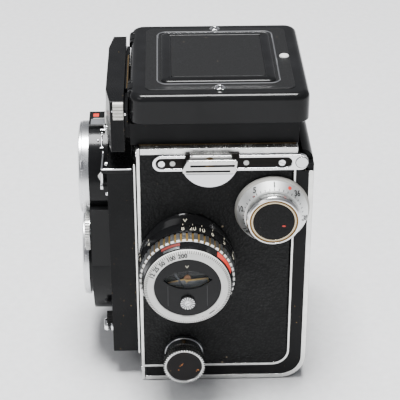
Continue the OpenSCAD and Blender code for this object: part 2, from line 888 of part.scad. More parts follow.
module crank_hub() {
  color("#c4c6c8") difference() {
    union() {
      bar_x(-half_w - 4.6, -half_w - 1.9, crank_y, crank_z, 9.5);
      bar_x(-half_w - 2, -inner_x - 0.2, crank_y, crank_z, 4);
      // fork that carries the arm
      for (y = [-4.6, 3.2]) {
        block([arm_x - 1, crank_y + y, crank_top - 1.6],
          [-half_w - 4, crank_y + y + 1.4, crank_top + 1.6]);
      }
    }
    bar_y(crank_y - 6, crank_y + 6, arm_x, crank_top, 0.7 + slip);
  }
}

module crank_arm() {
  low_z = crank_top - crank_len;
  color("#cfd1d3") {
    slab_x(arm_x - 0.9, arm_x + 0.9) {
      rect([crank_y - 2.9, low_z], [crank_y + 2.9, crank_top]);
      translate([crank_y, low_z]) circle(2.9);
    }
    bar_y(crank_y - 2.9, crank_y + 2.9, arm_x, crank_top, 0.9);
    bar_y(crank_y - 4.5, crank_y + 4.5, arm_x, crank_top, 0.7);
    bar_x(arm_x, -half_w - 0.6, crank_y, low_z, 1);
  }
}

module crank_grip() {
  low_z = crank_top - crank_len;
  color("#1c1c1d") tube_x(arm_x + 1.1, -half_w - 0.5, crank_y, low_z, 3.2, 1 + slip);
}

front_plate();
left_wall();
right_wall();
top_deck();
light_box();
film_gate();
viewing_mirror();
focusing_screen();
hood_base();
side_leathers();
body_trims();
strap_plates();
strap_lugs();
body_screws();
meter_head();
meter_cell();
contact_block();
hinge_pins();
side_bosses();
lower_film_roller();
upper_film_roller();
lens_standard();
lens_housing();
lens_bezels();
lens_glasses();
shutter_housing();
shutter_blades();
peep_window();
sync_socket();
speed_wheel();
aperture_wheel();
shutter_release();
timer_lever();
focus_knob();
focus_grip();
meter_housing();
meter_window();
meter_dial_ring();
meter_needle();
film_speed_wheel();
counter_dial();
upper_spool_knob();
upper_sleeve();
lower_spool_knob();
lower_sleeve();
camera_back();
back_leather();
pressure_plate();
back_lock_lever();
tripod_bush();
hood_lid();
finder_flap();
left_flap();
right_flap();
rear_flap();
magnifier_frame();
magnifier_lens();
crank_hub();
crank_arm();
crank_grip();
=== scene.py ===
"""Finished look of a twin lens reflex camera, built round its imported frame.

Lengths are in millimetres in the camera's own frame until a piece is made: +Z is up, the
lenses look along -Y, the focusing knob is on +X and the winding crank on -X.
"""

import logging
import math
from dataclasses import dataclass, replace
from enum import Enum
from typing import Any, Sequence

import bmesh
import bpy
from mathutils import Matrix, Vector


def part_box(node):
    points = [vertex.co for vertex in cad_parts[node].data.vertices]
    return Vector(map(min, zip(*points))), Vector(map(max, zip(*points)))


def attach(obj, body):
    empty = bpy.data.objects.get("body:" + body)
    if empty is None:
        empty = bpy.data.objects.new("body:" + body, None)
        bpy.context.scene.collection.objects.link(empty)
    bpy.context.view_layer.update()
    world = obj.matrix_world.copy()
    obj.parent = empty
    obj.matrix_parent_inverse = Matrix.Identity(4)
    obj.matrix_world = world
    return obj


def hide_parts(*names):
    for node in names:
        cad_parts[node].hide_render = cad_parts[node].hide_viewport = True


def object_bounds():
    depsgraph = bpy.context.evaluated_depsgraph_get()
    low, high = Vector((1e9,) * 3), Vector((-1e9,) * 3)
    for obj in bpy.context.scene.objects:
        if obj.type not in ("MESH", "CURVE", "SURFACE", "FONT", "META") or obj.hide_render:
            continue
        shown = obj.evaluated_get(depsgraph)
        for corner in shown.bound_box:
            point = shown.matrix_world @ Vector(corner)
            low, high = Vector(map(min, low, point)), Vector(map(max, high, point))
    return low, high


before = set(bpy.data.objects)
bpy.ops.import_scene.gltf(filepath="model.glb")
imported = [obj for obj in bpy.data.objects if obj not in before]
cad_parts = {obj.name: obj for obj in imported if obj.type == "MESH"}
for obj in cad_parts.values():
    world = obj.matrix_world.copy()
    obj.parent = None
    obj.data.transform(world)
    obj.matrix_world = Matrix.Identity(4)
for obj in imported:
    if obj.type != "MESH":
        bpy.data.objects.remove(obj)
CAD_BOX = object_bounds()
MM = 0.001
TINY = 1e-6
LOG = logging.getLogger("camera")
Outline = Sequence[tuple[float, ...]]


# ---------- node trees ----------


class Value:
    """A number socket that does maths as a Python number does."""

    def __init__(self, graph: "Graph", socket: bpy.types.NodeSocket) -> None:
        """Wraps a socket of a tree."""
        self.graph = graph
        self.socket = socket

    def _math(self, operation: str, first: Any, second: Any) -> "Value":
        """Adds one Math node and returns its result."""
        return self.graph.value("ShaderNodeMath", {"operation": operation}, {0: first, 1: second})

    def __add__(self, other: Any) -> "Value":
        """self + other."""
        return self._math("ADD", self, other)

    def __radd__(self, other: Any) -> "Value":
        """other + self."""
        return self._math("ADD", other, self)

    def __sub__(self, other: Any) -> "Value":
        """self - other."""
        return self._math("SUBTRACT", self, other)

    def __rsub__(self, other: Any) -> "Value":
        """other - self."""
        return self._math("SUBTRACT", other, self)

    def __mul__(self, other: Any) -> "Value":
        """self * other."""
        return self._math("MULTIPLY", self, other)

    def __rmul__(self, other: Any) -> "Value":
        """other * self."""
        return self._math("MULTIPLY", other, self)

    def __truediv__(self, other: Any) -> "Value":
        """self / other."""
        return self._math("DIVIDE", self, other)

    def __pow__(self, other: Any) -> "Value":
        """self ** other."""
        return self._math("POWER", self, other)

    def sine(self) -> "Value":
        """Sine of the value."""
        return self._math("SINE", self, 0.0)

    def cosine(self) -> "Value":
        """Cosine of the value."""
        return self._math("COSINE", self, 0.0)


class Graph:
    """A node tree, and the one way in which its nodes are added."""

    def __init__(self, tree: bpy.types.NodeTree) -> None:
        """Wraps a shader or geometry tree."""
        self.tree = tree

    def node(self, kind: str, settings: dict | None = None, inputs: dict | None = None) -> bpy.types.Node:
        """Adds a node.

        Args:
            kind: The node's type.
            settings: Properties of the node; "stops" is a ramp's list of (place, colour).
            inputs: Values or sockets for its inputs, by name or number.

        Returns:
            The new node.
        """
        made = self.tree.nodes.new(kind)
        for name, setting in (settings or {}).items():
            if name == "stops":
                for stop in list(made.color_ramp.elements)[1:]:
                    made.color_ramp.elements.remove(stop)
                made.color_ramp.elements[0].position = setting[0][0]
                made.color_ramp.elements[0].color = setting[0][1]
                for place, colour in setting[1:]:
                    made.color_ramp.elements.new(place).color = colour
            else:
                setattr(made, name, setting)
        for key, content in (inputs or {}).items():
            self.feed(made.inputs[key], content)
        return made

    def feed(self, socket: bpy.types.NodeSocket, content: Any) -> None:
        """Sets a socket, or links it where the content is a socket."""
        if isinstance(content, Value):
            content = content.socket
        if isinstance(content, bpy.types.NodeSocket):
            self.tree.links.new(content, socket)
        else:
            socket.default_value = content

    def value(self, kind: str, settings: dict | None = None, inputs: dict | None = None,
              output: int | str = 0) -> Value:
        """Adds a node and wraps one of its outputs."""
        return Value(self, self.node(kind, settings, inputs).outputs[output])


class Paint(Graph):
    """A material being mixed, with the patterns that the finishes share."""

    def __init__(self, name: str) -> None:
        """Starts a material with its shader and its coordinates in millimetres."""
        self.material = bpy.data.materials.new(name)
        self.material.use_nodes = True
        super().__init__(self.material.node_tree)
        self.shader = self.tree.nodes["Principled BSDF"]
        place = self.node("ShaderNodeTexCoord").outputs["Object"]
        self.place = self.node("ShaderNodeVectorMath", {"operation": "SCALE"},
                               {0: place, "Scale": 1.0 / MM}).outputs[0]

    def stretched(self, along: Sequence[float]) -> bpy.types.NodeSocket:
        """Coordinates scaled along each axis."""
        return self.node("ShaderNodeVectorMath", {"operation": "MULTIPLY"},
                         {0: self.place, 1: tuple(along)}).outputs[0]

    def noise(self, scale: float, detail: float = 3.0, along: Sequence[float] = (1, 1, 1)) -> Value:
        """Fractal noise from 0 to 1, with its scale in features per millimetre."""
        return self.value("ShaderNodeTexNoise", None, {
            "Vector": self.stretched(along), "Scale": scale, "Detail": detail}, "Fac")

    def cells(self, scale: float, feature: str = "F1", along: Sequence[float] = (1, 1, 1)) -> Value:
        """Distance pattern of Voronoi cells, with its scale in cells per millimetre."""
        return self.value("ShaderNodeTexVoronoi", {"feature": feature},
                          {"Vector": self.stretched(along), "Scale": scale}, "Distance")

    def mask(self, value: Value, low: float, high: float) -> Value:
        """Smooth step of a value between two limits."""
        return self.value("ShaderNodeMapRange", {"interpolation_type": "SMOOTHSTEP"},
                          {"Value": value, "From Min": low, "From Max": high})

    def blend(self, factor: Any, first: Any, second: Any) -> bpy.types.NodeSocket:
        """Mix of two colours."""
        return self.node("ShaderNodeMix", {"data_type": "RGBA"}, {
            0: factor, 6: rgba(first), 7: rgba(second)}).outputs[2]

    def bump(self, height: Value, depth_mm: float) -> bpy.types.NodeSocket:
        """Normal of a surface raised by a height from 0 to 1 of the given depth."""
        return self.node("ShaderNodeBump", None, {
            "Strength": 1.0, "Distance": depth_mm * MM, "Height": height}).outputs[0]

    def dress(self, **inputs: Any) -> None:
        """Feeds the shader's inputs, named with underscores for their spaces."""
        for name, content in inputs.items():
            self.feed(self.shader.inputs[name.replace("_", " ")], content)


def rgba(colour: Any) -> Any:
    """A colour with its alpha, or the socket it is."""
    if isinstance(colour, (Value, bpy.types.NodeSocket)):
        return colour
    return (*colour, 1.0)


# ---------- finishes ----------

BLACK = (0.0058, 0.0059, 0.0063)
BRASS = (0.42, 0.27, 0.10)
CHROME = (0.80, 0.80, 0.79)
DUST = (0.16, 0.14, 0.11)


@dataclass(frozen=True)
class Finish:
    """A surface finish. Its name is also its material's name."""

    name: str

    def material(self) -> bpy.types.Material:
        """The finish's material, mixed once."""
        found = bpy.data.materials.get(self.name)
        if found is None:
            paint = Paint(self.name)
            self.mix(paint)
            found = paint.material
        return found

    def mix(self, paint: Paint) -> None:
        """Fills in the material. Each kind of finish has its own."""
        raise NotImplementedError


@dataclass(frozen=True)
class Enamel(Finish):
    """Baked enamel with hairline scratches, dust, and flecks where it is chipped to metal."""

    colour: tuple[float, float, float] = BLACK
    roughness: float = 0.2
    chips: float = 0.12
    bare: tuple[float, float, float] = BRASS
    gloss: float = 0.10

    def mix(self, paint: Paint) -> None:
        """Mixes the enamel."""
        cloud = paint.noise(0.06, 4.0)
        fine = paint.noise(2.2, 5.0)
        hair = paint.noise(0.9, 3.0, (1.0, 14.0, 1.0))
        chip = paint.mask(paint.noise(0.85, 8.0) + self.chips * 0.5, 0.775, 0.80)
        dust = paint.mask(paint.noise(1.7, 6.0), 0.66, 0.80) * 0.10
        light = tuple(1.5 * c for c in self.colour)
        coat = paint.blend(paint.mask(cloud, 0.35, 0.7), self.colour, light)
        coat = paint.blend(dust, coat, DUST)
        paint.dress(
            Base_Color=paint.blend(chip, coat, self.bare),
            Metallic=chip,
            Roughness=self.roughness + 0.10 * paint.mask(hair, 0.45, 0.75) + 0.06 * fine + 0.15 * chip,
            Normal=paint.bump(fine * 0.25 - chip, 0.02),
            Specular_IOR_Level=self.gloss)


@dataclass(frozen=True)
class Leather(Finish):
    """Pebbled leather with a few tan scuffs, its pebble tops painted lighter and its creases darker: painted highlight
    and painted shade, with real rubbing on the tops in places.
    """

    pebble: float = 0.9
    depth: float = 0.34
    colour: tuple[float, float, float] = (0.0046, 0.0048, 0.0049)
    scuffs: float = 0.5
    roughness: float = 0.46
    flecks: float = 0.16
    gloss: float = 0.16

    def mix(self, paint: Paint) -> None:
        """Mixes the leather."""
        scale = 1.0 / self.pebble
        pebbles = paint.cells(scale, "SMOOTH_F1")
        wrinkle = paint.noise(0.55 * scale, 5.0)
        pore = paint.noise(5.0 * scale, 3.0)
        height = (1.0 - pebbles * 1.3) * 0.75 + wrinkle * 0.6 + pore * 0.12
        rubbed = paint.mask(paint.noise(0.045, 3.0), 0.4, 0.68)
        # Colour follows the grain's height: pebble tops painted lighter and creases darker, a painted highlight and
        # painted shade.
        top = paint.mask(height, 0.55, 1.0)
        light = tuple(2.6 * c for c in self.colour)
        scuff = paint.mask(paint.noise(0.32, 7.0), 0.755, 0.79) * self.scuffs
        fleck = paint.mask(paint.cells(self.flecks), 0.10, 0.05) * paint.mask(paint.noise(0.03), 0.5, 0.6)
        # Tops lighten further where the rubbed noise is high: real rubbing added to the painted highlight.
        coat = paint.blend(top * (0.35 + 0.5 * rubbed), self.colour, light)
        coat = paint.blend(scuff, coat, (0.20, 0.105, 0.045))
        paint.dress(
            Base_Color=paint.blend(fleck * self.scuffs, coat, (0.42, 0.34, 0.24)),
            Roughness=self.roughness + 0.14 * (1.0 - top) - 0.08 * rubbed,
            Normal=paint.bump(height, self.depth),
            Specular_IOR_Level=self.gloss)


@dataclass(frozen=True)
class Metal(Finish):
    """Plated or anodised metal with brushing, scratches and grime in its pits."""

    colour: tuple[float, float, float] = CHROME
    roughness: float = 0.22
    brush: tuple[float, float, float] = (1.0, 1.0, 1.0)
    grain: float = 0.05
    grime: float = 0.25
    grime_colour: tuple[float, float, float] = (0.13, 0.115, 0.085)

    def mix(self, paint: Paint) -> None:
        """Mixes the metal."""
        brushed = paint.noise(1.6, 4.0, self.brush)
        cloud = paint.noise(0.16, 5.0)
        pit = paint.mask(paint.noise(2.4, 6.0), 0.66, 0.78) * self.grime
        scratch = paint.mask(paint.cells(0.5, "DISTANCE_TO_EDGE", (1.0, 0.35, 1.0)), 0.012, 0.0)
        dark = tuple(0.80 * c for c in self.colour)
        plate = paint.blend(paint.mask(cloud, 0.3, 0.7), dark, self.colour)
        paint.dress(
            Base_Color=paint.blend(pit, plate, self.grime_colour),
            Metallic=1.0 - 0.6 * pit,
            Roughness=self.roughness + 0.12 * cloud + 0.25 * pit + 0.10 * (brushed - 0.5),
            Normal=paint.bump(brushed - 0.35 * scratch, self.grain))


@dataclass(frozen=True)
class Turned(Finish):
    """Metal finished on a lathe, its fine rings centred on an axis."""

    side: "Side"
    centre: tuple[float, float, float] = (0.0, 0.0, 0.0)
    colour: tuple[float, float, float] = CHROME
    roughness: float = 0.24
    grain: float = 0.02

    def mix(self, paint: Paint) -> None:
        """Mixes the metal, with the distance from the axis driving its rings."""
        along = [abs(c) for c in self.side.axis()]
        flat = [1.0 - c for c in along]
        shifted = paint.node("ShaderNodeVectorMath", {"operation": "SUBTRACT"},
                             {0: paint.place, 1: self.centre}).outputs[0]
        flattened = paint.node("ShaderNodeVectorMath", {"operation": "MULTIPLY"},
                               {0: shifted, 1: tuple(flat)}).outputs[0]
        radius = paint.value("ShaderNodeVectorMath", {"operation": "LENGTH"}, {0: flattened}, "Value")
        rings = paint.value("ShaderNodeTexNoise", {"noise_dimensions": "1D"},
                            {"W": radius, "Scale": 7.0, "Detail": 5.0}, "Fac")
        cloud = paint.noise(0.2, 5.0)
        pit = paint.mask(paint.noise(2.8, 6.0), 0.67, 0.77) * 0.35
        dark = tuple(0.84 * c for c in self.colour)
        plate = paint.blend(paint.mask(cloud, 0.3, 0.7) * 0.6 + rings * 0.4, dark, self.colour)
        paint.dress(
            Base_Color=paint.blend(pit, plate, (0.16, 0.14, 0.10)),
            Metallic=1.0 - 0.5 * pit,
            Roughness=self.roughness + 0.12 * cloud + 0.2 * pit,
            Normal=paint.bump(rings, self.grain))


@dataclass(frozen=True)
class Ink(Finish):
    """Filled engraving or print, rubbed thin in places, with an optional painted glow from emission."""

    colour: tuple[float, float, float] = (0.02, 0.02, 0.02)
    rubbed: tuple[float, float, float] = (0.25, 0.24, 0.22)
    roughness: float = 0.5
    glow: float = 0.0

    def mix(self, paint: Paint) -> None:
        """Mixes the ink."""
        worn = paint.mask(paint.noise(1.5, 5.0), 0.56, 0.72) * 0.7
        paint.dress(
            Base_Color=paint.blend(worn, self.colour, self.rubbed),
            Roughness=self.roughness + 0.2 * worn,
            Normal=paint.bump(paint.noise(4.0, 3.0), 0.01))
        # Emission gives the ink a painted glow; it is no lamp.
        if self.glow:
            paint.dress(Emission_Color=paint.blend(worn, self.colour, self.rubbed),
                        Emission_Strength=self.glow)


@dataclass(frozen=True)
class Glass(Finish):
    """Glass: clear by its alpha, or dark with a coated bloom."""

    colour: tuple[float, float, float] = (0.012, 0.013, 0.02)
    bloom: tuple[float, float, float] = (0.05, 0.035, 0.10)
    alpha: float = 1.0
    roughness: float = 0.03

    def mix(self, paint: Paint) -> None:
        """Mixes the glass."""
        smear = paint.mask(paint.noise(0.25, 5.0, (1.0, 1.0, 2.2)), 0.45, 0.75)
        facing = paint.value("ShaderNodeLayerWeight", None, {"Blend": 0.35}, "Facing")
        paint.dress(
            Base_Color=paint.blend(facing, self.colour, self.bloom),
            Roughness=self.roughness + 0.06 * smear,
            Specular_IOR_Level=0.8,
            Coat_Weight=1.0,
            Coat_Roughness=0.03,
            Normal=paint.bump(smear, 0.002),
            Alpha=self.alpha)


@dataclass(frozen=True)
class Plain(Finish):
    """Moulded or painted surface with slight mottling and a fine tooth."""

    colour: tuple[float, float, float] = (0.7, 0.69, 0.64)
    stain: tuple[float, float, float] = (0.30, 0.17, 0.06)
    dirt: float = 0.3
    roughness: float = 0.4
    tooth: float = 0.02

    def mix(self, paint: Paint) -> None:
        """Mixes the surface."""
        cloud = paint.noise(0.25, 4.0)
        spot = paint.mask(paint.noise(0.9, 6.0), 0.60, 0.74) * self.dirt
        dark = tuple(0.82 * c for c in self.colour)
        paint.dress(
            Base_Color=paint.blend(spot, paint.blend(cloud, dark, self.colour), self.stain),
            Roughness=self.roughness + 0.15 * cloud,
            Normal=paint.bump(paint.noise(3.0, 4.0), self.tooth))


@dataclass(frozen=True)
class Silvered(Finish):
    """Front-silvered glass with a slight haze."""

    def mix(self, paint: Paint) -> None:
        """Mixes the mirror."""
        haze = paint.mask(paint.noise(0.08, 5.0), 0.45, 0.8)
        paint.dress(
            Base_Color=paint.blend(haze, (0.9, 0.92, 0.93), (0.78, 0.80, 0.80)),
            Metallic=1.0,
            Roughness=0.03 + 0.10 * haze)


ENAMEL = Enamel("enamel_black")
ENAMEL_EDGE = Enamel("enamel_black_worn", chips=0.26, roughness=0.24, bare=(0.34, 0.27, 0.18), gloss=0.4)
GLOSS = Enamel("enamel_gloss", roughness=0.10, chips=0.0, gloss=0.18)
GLOSS_EDGE = Enamel("enamel_gloss_worn", roughness=0.14, chips=0.16, gloss=0.45)
CASTING = Enamel("casting_black", colour=(0.013, 0.013, 0.0135), roughness=0.5, chips=0.0)
LEATHER = Leather("leather_pebbled")
LEATHERETTE = Leather("leatherette_fine", pebble=0.42, depth=0.05, scuffs=0.15, roughness=0.36,
                      colour=(0.0058, 0.0059, 0.0062), gloss=0.24)
DISC_LEATHER = Leather("leather_disc", pebble=0.6, depth=0.1, scuffs=1.0, roughness=0.5, flecks=0.55)
SATIN = Metal("satin_chrome", roughness=0.27, grain=0.02)
SATIN_EDGE = Metal("satin_chrome_edge", roughness=0.14, grain=0.008, grime=0.15)
BRIGHT = Metal("bright_chrome", colour=(0.86, 0.86, 0.85), roughness=0.10, grain=0.006, grime=0.2)
LINE = Metal("chrome_line", colour=(0.86, 0.86, 0.84), roughness=0.16, grain=0.02, grime=0.45)
ALLOY = Metal("satin_alloy", colour=(0.56, 0.56, 0.55), roughness=0.34, brush=(10.0, 1.0, 1.0), grain=0.04)
GREY_ALLOY = Metal("grey_alloy", colour=(0.33, 0.34, 0.35), roughness=0.30, brush=(1.0, 8.0, 1.0))
STEEL = Metal("turned_steel", colour=(0.52, 0.53, 0.55), roughness=0.2, brush=(6.0, 1.0, 1.0))
RAW_BRASS = Metal("raw_brass", colour=(0.40, 0.27, 0.10), roughness=0.38, grime=0.5)
BLUED = Metal("blued_steel", colour=(0.07, 0.075, 0.085), roughness=0.3, brush=(1.0, 1.0, 6.0))
IVORY = Plain("ivory_white", colour=(0.86, 0.85, 0.80))
TOOTH_WHITE = Plain("silvered_white", colour=(0.78, 0.78, 0.76), stain=(0.25, 0.22, 0.16), roughness=0.3)
DIAL_WHITE = Plain("dial_white", colour=(0.86, 0.86, 0.83), stain=(0.36, 0.34, 0.29), roughness=0.34,
                   tooth=0.01)
CHARCOAL = Plain("charcoal_gloss", colour=(0.011, 0.011, 0.013), stain=(0.02, 0.02, 0.02), roughness=0.16,
                 tooth=0.004)
FLOCK = Plain("matt_black", colour=(0.005, 0.005, 0.005), stain=(0.012, 0.012, 0.011), roughness=0.8,
              tooth=0.08)
INK_BLACK = Ink("ink_black", colour=(0.006, 0.006, 0.006), rubbed=(0.03, 0.03, 0.03))
INK_WHITE = Ink("ink_cream", colour=(0.70, 0.66, 0.52), rubbed=(0.35, 0.32, 0.24))
INK_RED = Ink("ink_red", colour=(0.62, 0.035, 0.02), rubbed=(0.40, 0.05, 0.03), roughness=0.35)
INK_DARK_RED = Ink("ink_dark_red", colour=(0.16, 0.02, 0.015), rubbed=(0.05, 0.02, 0.02))
# Its emission is a painted glow on the meter arc.
INK_ORANGE = Ink("ink_orange", colour=(0.26, 0.10, 0.02), rubbed=(0.14, 0.06, 0.02), glow=0.05)
COATED = Glass("lens_coated")
CLEAR = Glass("glass_clear", colour=(0.10, 0.11, 0.11), bloom=(0.2, 0.22, 0.22), alpha=0.05)
GROUND = Plain("ground_glass", colour=(0.42, 0.45, 0.45), stain=(0.36, 0.38, 0.36), roughness=0.5)
MIRROR = Silvered("front_silvered")


# ---------- places ----------


class Side(Enum):
    """A side of the camera: the two directions along it, whose cross product points out of it."""

    KNOB = ((0, 1, 0), (0, 0, 1))
    CRANK = ((0, -1, 0), (0, 0, 1))
    LENS = ((1, 0, 0), (0, 0, 1))
    BACK = ((-1, 0, 0), (0, 0, 1))
    TOP = ((1, 0, 0), (0, 1, 0))
    BASE = ((1, 0, 0), (0, -1, 0))

    def axis(self) -> Vector:
        """The direction out of the side."""
        across, up = (Vector(v) for v in self.value)
        return across.cross(up)

    def basis(self) -> Matrix:
        """Turns local axes to the side's own: across, up and out."""
        across, up = (Vector(v) for v in self.value)
        return Matrix((across, up, across.cross(up))).transposed().to_4x4()


def span(node: str) -> tuple[Vector, Vector]:
    """Lowest and highest corners of a frame node, in millimetres."""
    low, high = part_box(node)
    return low / MM, high / MM


def middle(node: str) -> Vector:
    """Centre of a frame node, in millimetres."""
    low, high = span(node)
    return (low + high) / 2


def seat(side: Side, centre: Vector, across: float = 0.0, up: float = 0.0) -> Matrix:
    """A place on a side, where heights are distances from the camera's own origin plane.

    Args:
        side: The side to stand on.
        centre: A point, of which only the part along the side is used.
        across: Shift along the side's first direction.
        up: Shift along its second direction.

    Returns:
        The matrix from the local frame to the camera's.
    """
    out = side.axis()
    flat = Vector(centre) - out * out.dot(Vector(centre))
    return Matrix.Translation(flat) @ side.basis() @ Matrix.Translation((across, up, 0.0))


def around(radius: float, height: float, angle: float, tilt: float = 0.0, spin: float = 0.0) -> Matrix:
    """A place round an axis, for marks on rings, cones and cylinders.

    Args:
        radius: Distance from the axis.
        height: Distance along it.
        angle: Degrees round it.
        tilt: 0 faces along the axis, 90 faces away from it.
        spin: Degrees that the mark turns on its own face.

    Returns:
        The matrix of a mark whose top points away from the axis.
    """
    return (turn(angle, "Z") @ Matrix.Translation((radius, 0.0, height)) @ turn(tilt, "Y")
            @ turn(spin - 90.0, "Z"))


def turn(degrees: float, axis: str) -> Matrix:
    """Rotation by some degrees about an axis."""
    return Matrix.Rotation(math.radians(degrees), 4, axis)


# ---------- outlines ----------


def softened(points: Outline, closed: bool = True, steps: int = 3) -> list[Vector]:
    """Replaces each corner that gives a radius by an arc.

    Args:
        points: Corners as (x, y) or (x, y, radius).
        closed: Whether the last corner joins the first.
        steps: Straight pieces in each arc.

    Returns:
        The points of the outline.
    """
    result: list[Vector] = []
    count = len(points)
    for index, point in enumerate(points):
        here = Vector(point[:2])
        radius = point[2] if len(point) > 2 else 0.0
        if radius <= 0.0 or (not closed and index in (0, count - 1)):
            result.append(here)
            continue
        back = Vector(points[index - 1][:2]) - here
        ahead = Vector(points[(index + 1) % count][:2]) - here
        half = back.angle(ahead) / 2.0
        reach = min(radius / math.tan(half), 0.49 * back.length, 0.49 * ahead.length)
        radius = reach * math.tan(half)
        centre = here + (back.normalized() + ahead.normalized()).normalized() * (radius / math.sin(half))
        first = here + back.normalized() * reach - centre
        last = here + ahead.normalized() * reach - centre
        start = math.atan2(first.y, first.x)
        sweep = (math.atan2(last.y, last.x) - start + math.pi) % math.tau - math.pi
        for step in range(steps + 1):
            angle = start + sweep * step / steps
            result.append(centre + radius * Vector((math.cos(angle), math.sin(angle))))
    return result


def rectangle(low: Sequence[float], high: Sequence[float], radius: float = 0.0) -> Outline:
    """Corners of a rectangle, each with the same radius."""
    return [(low[0], low[1], radius), (high[0], low[1], radius), (high[0], high[1], radius),
            (low[0], high[1], radius)]


def mirrored(outline: Outline, sign: float) -> Outline:
    """The outline itself, or its mirror image for a negative sign."""
    points = [(sign * point[0], *point[1:]) for point in outline]
    return points if sign > 0 else points[::-1]


def inset(outline: Sequence[Vector], distance: float) -> list[Vector]:
    """Moves each point of a counter-clockwise outline inwards."""
    result = []
    count = len(outline)
    for index, here in enumerate(outline):
        before = (here - outline[index - 1]).normalized()
        after = (outline[(index + 1) % count] - here).normalized()
        first = Vector((-before.y, before.x))
        second = Vector((-after.y, after.x))
        result.append(here + (first + second) * (distance / max(0.2, 1.0 + first.dot(second))))
    return result


def signed_area(outline: Sequence[Vector]) -> float:
    """Area of an outline, negative when it runs clockwise."""
    return sum(outline[i - 1].cross(outline[i]) for i in range(len(outline))) / 2.0


# ---------- meshes ----------


@dataclass(frozen=True)
class Edge:
    """How a piece's hard edges are finished."""

    width: float = 0.2
    finish: Finish | None = None
    segments: int = 2
    sharper_than: float = 34.0


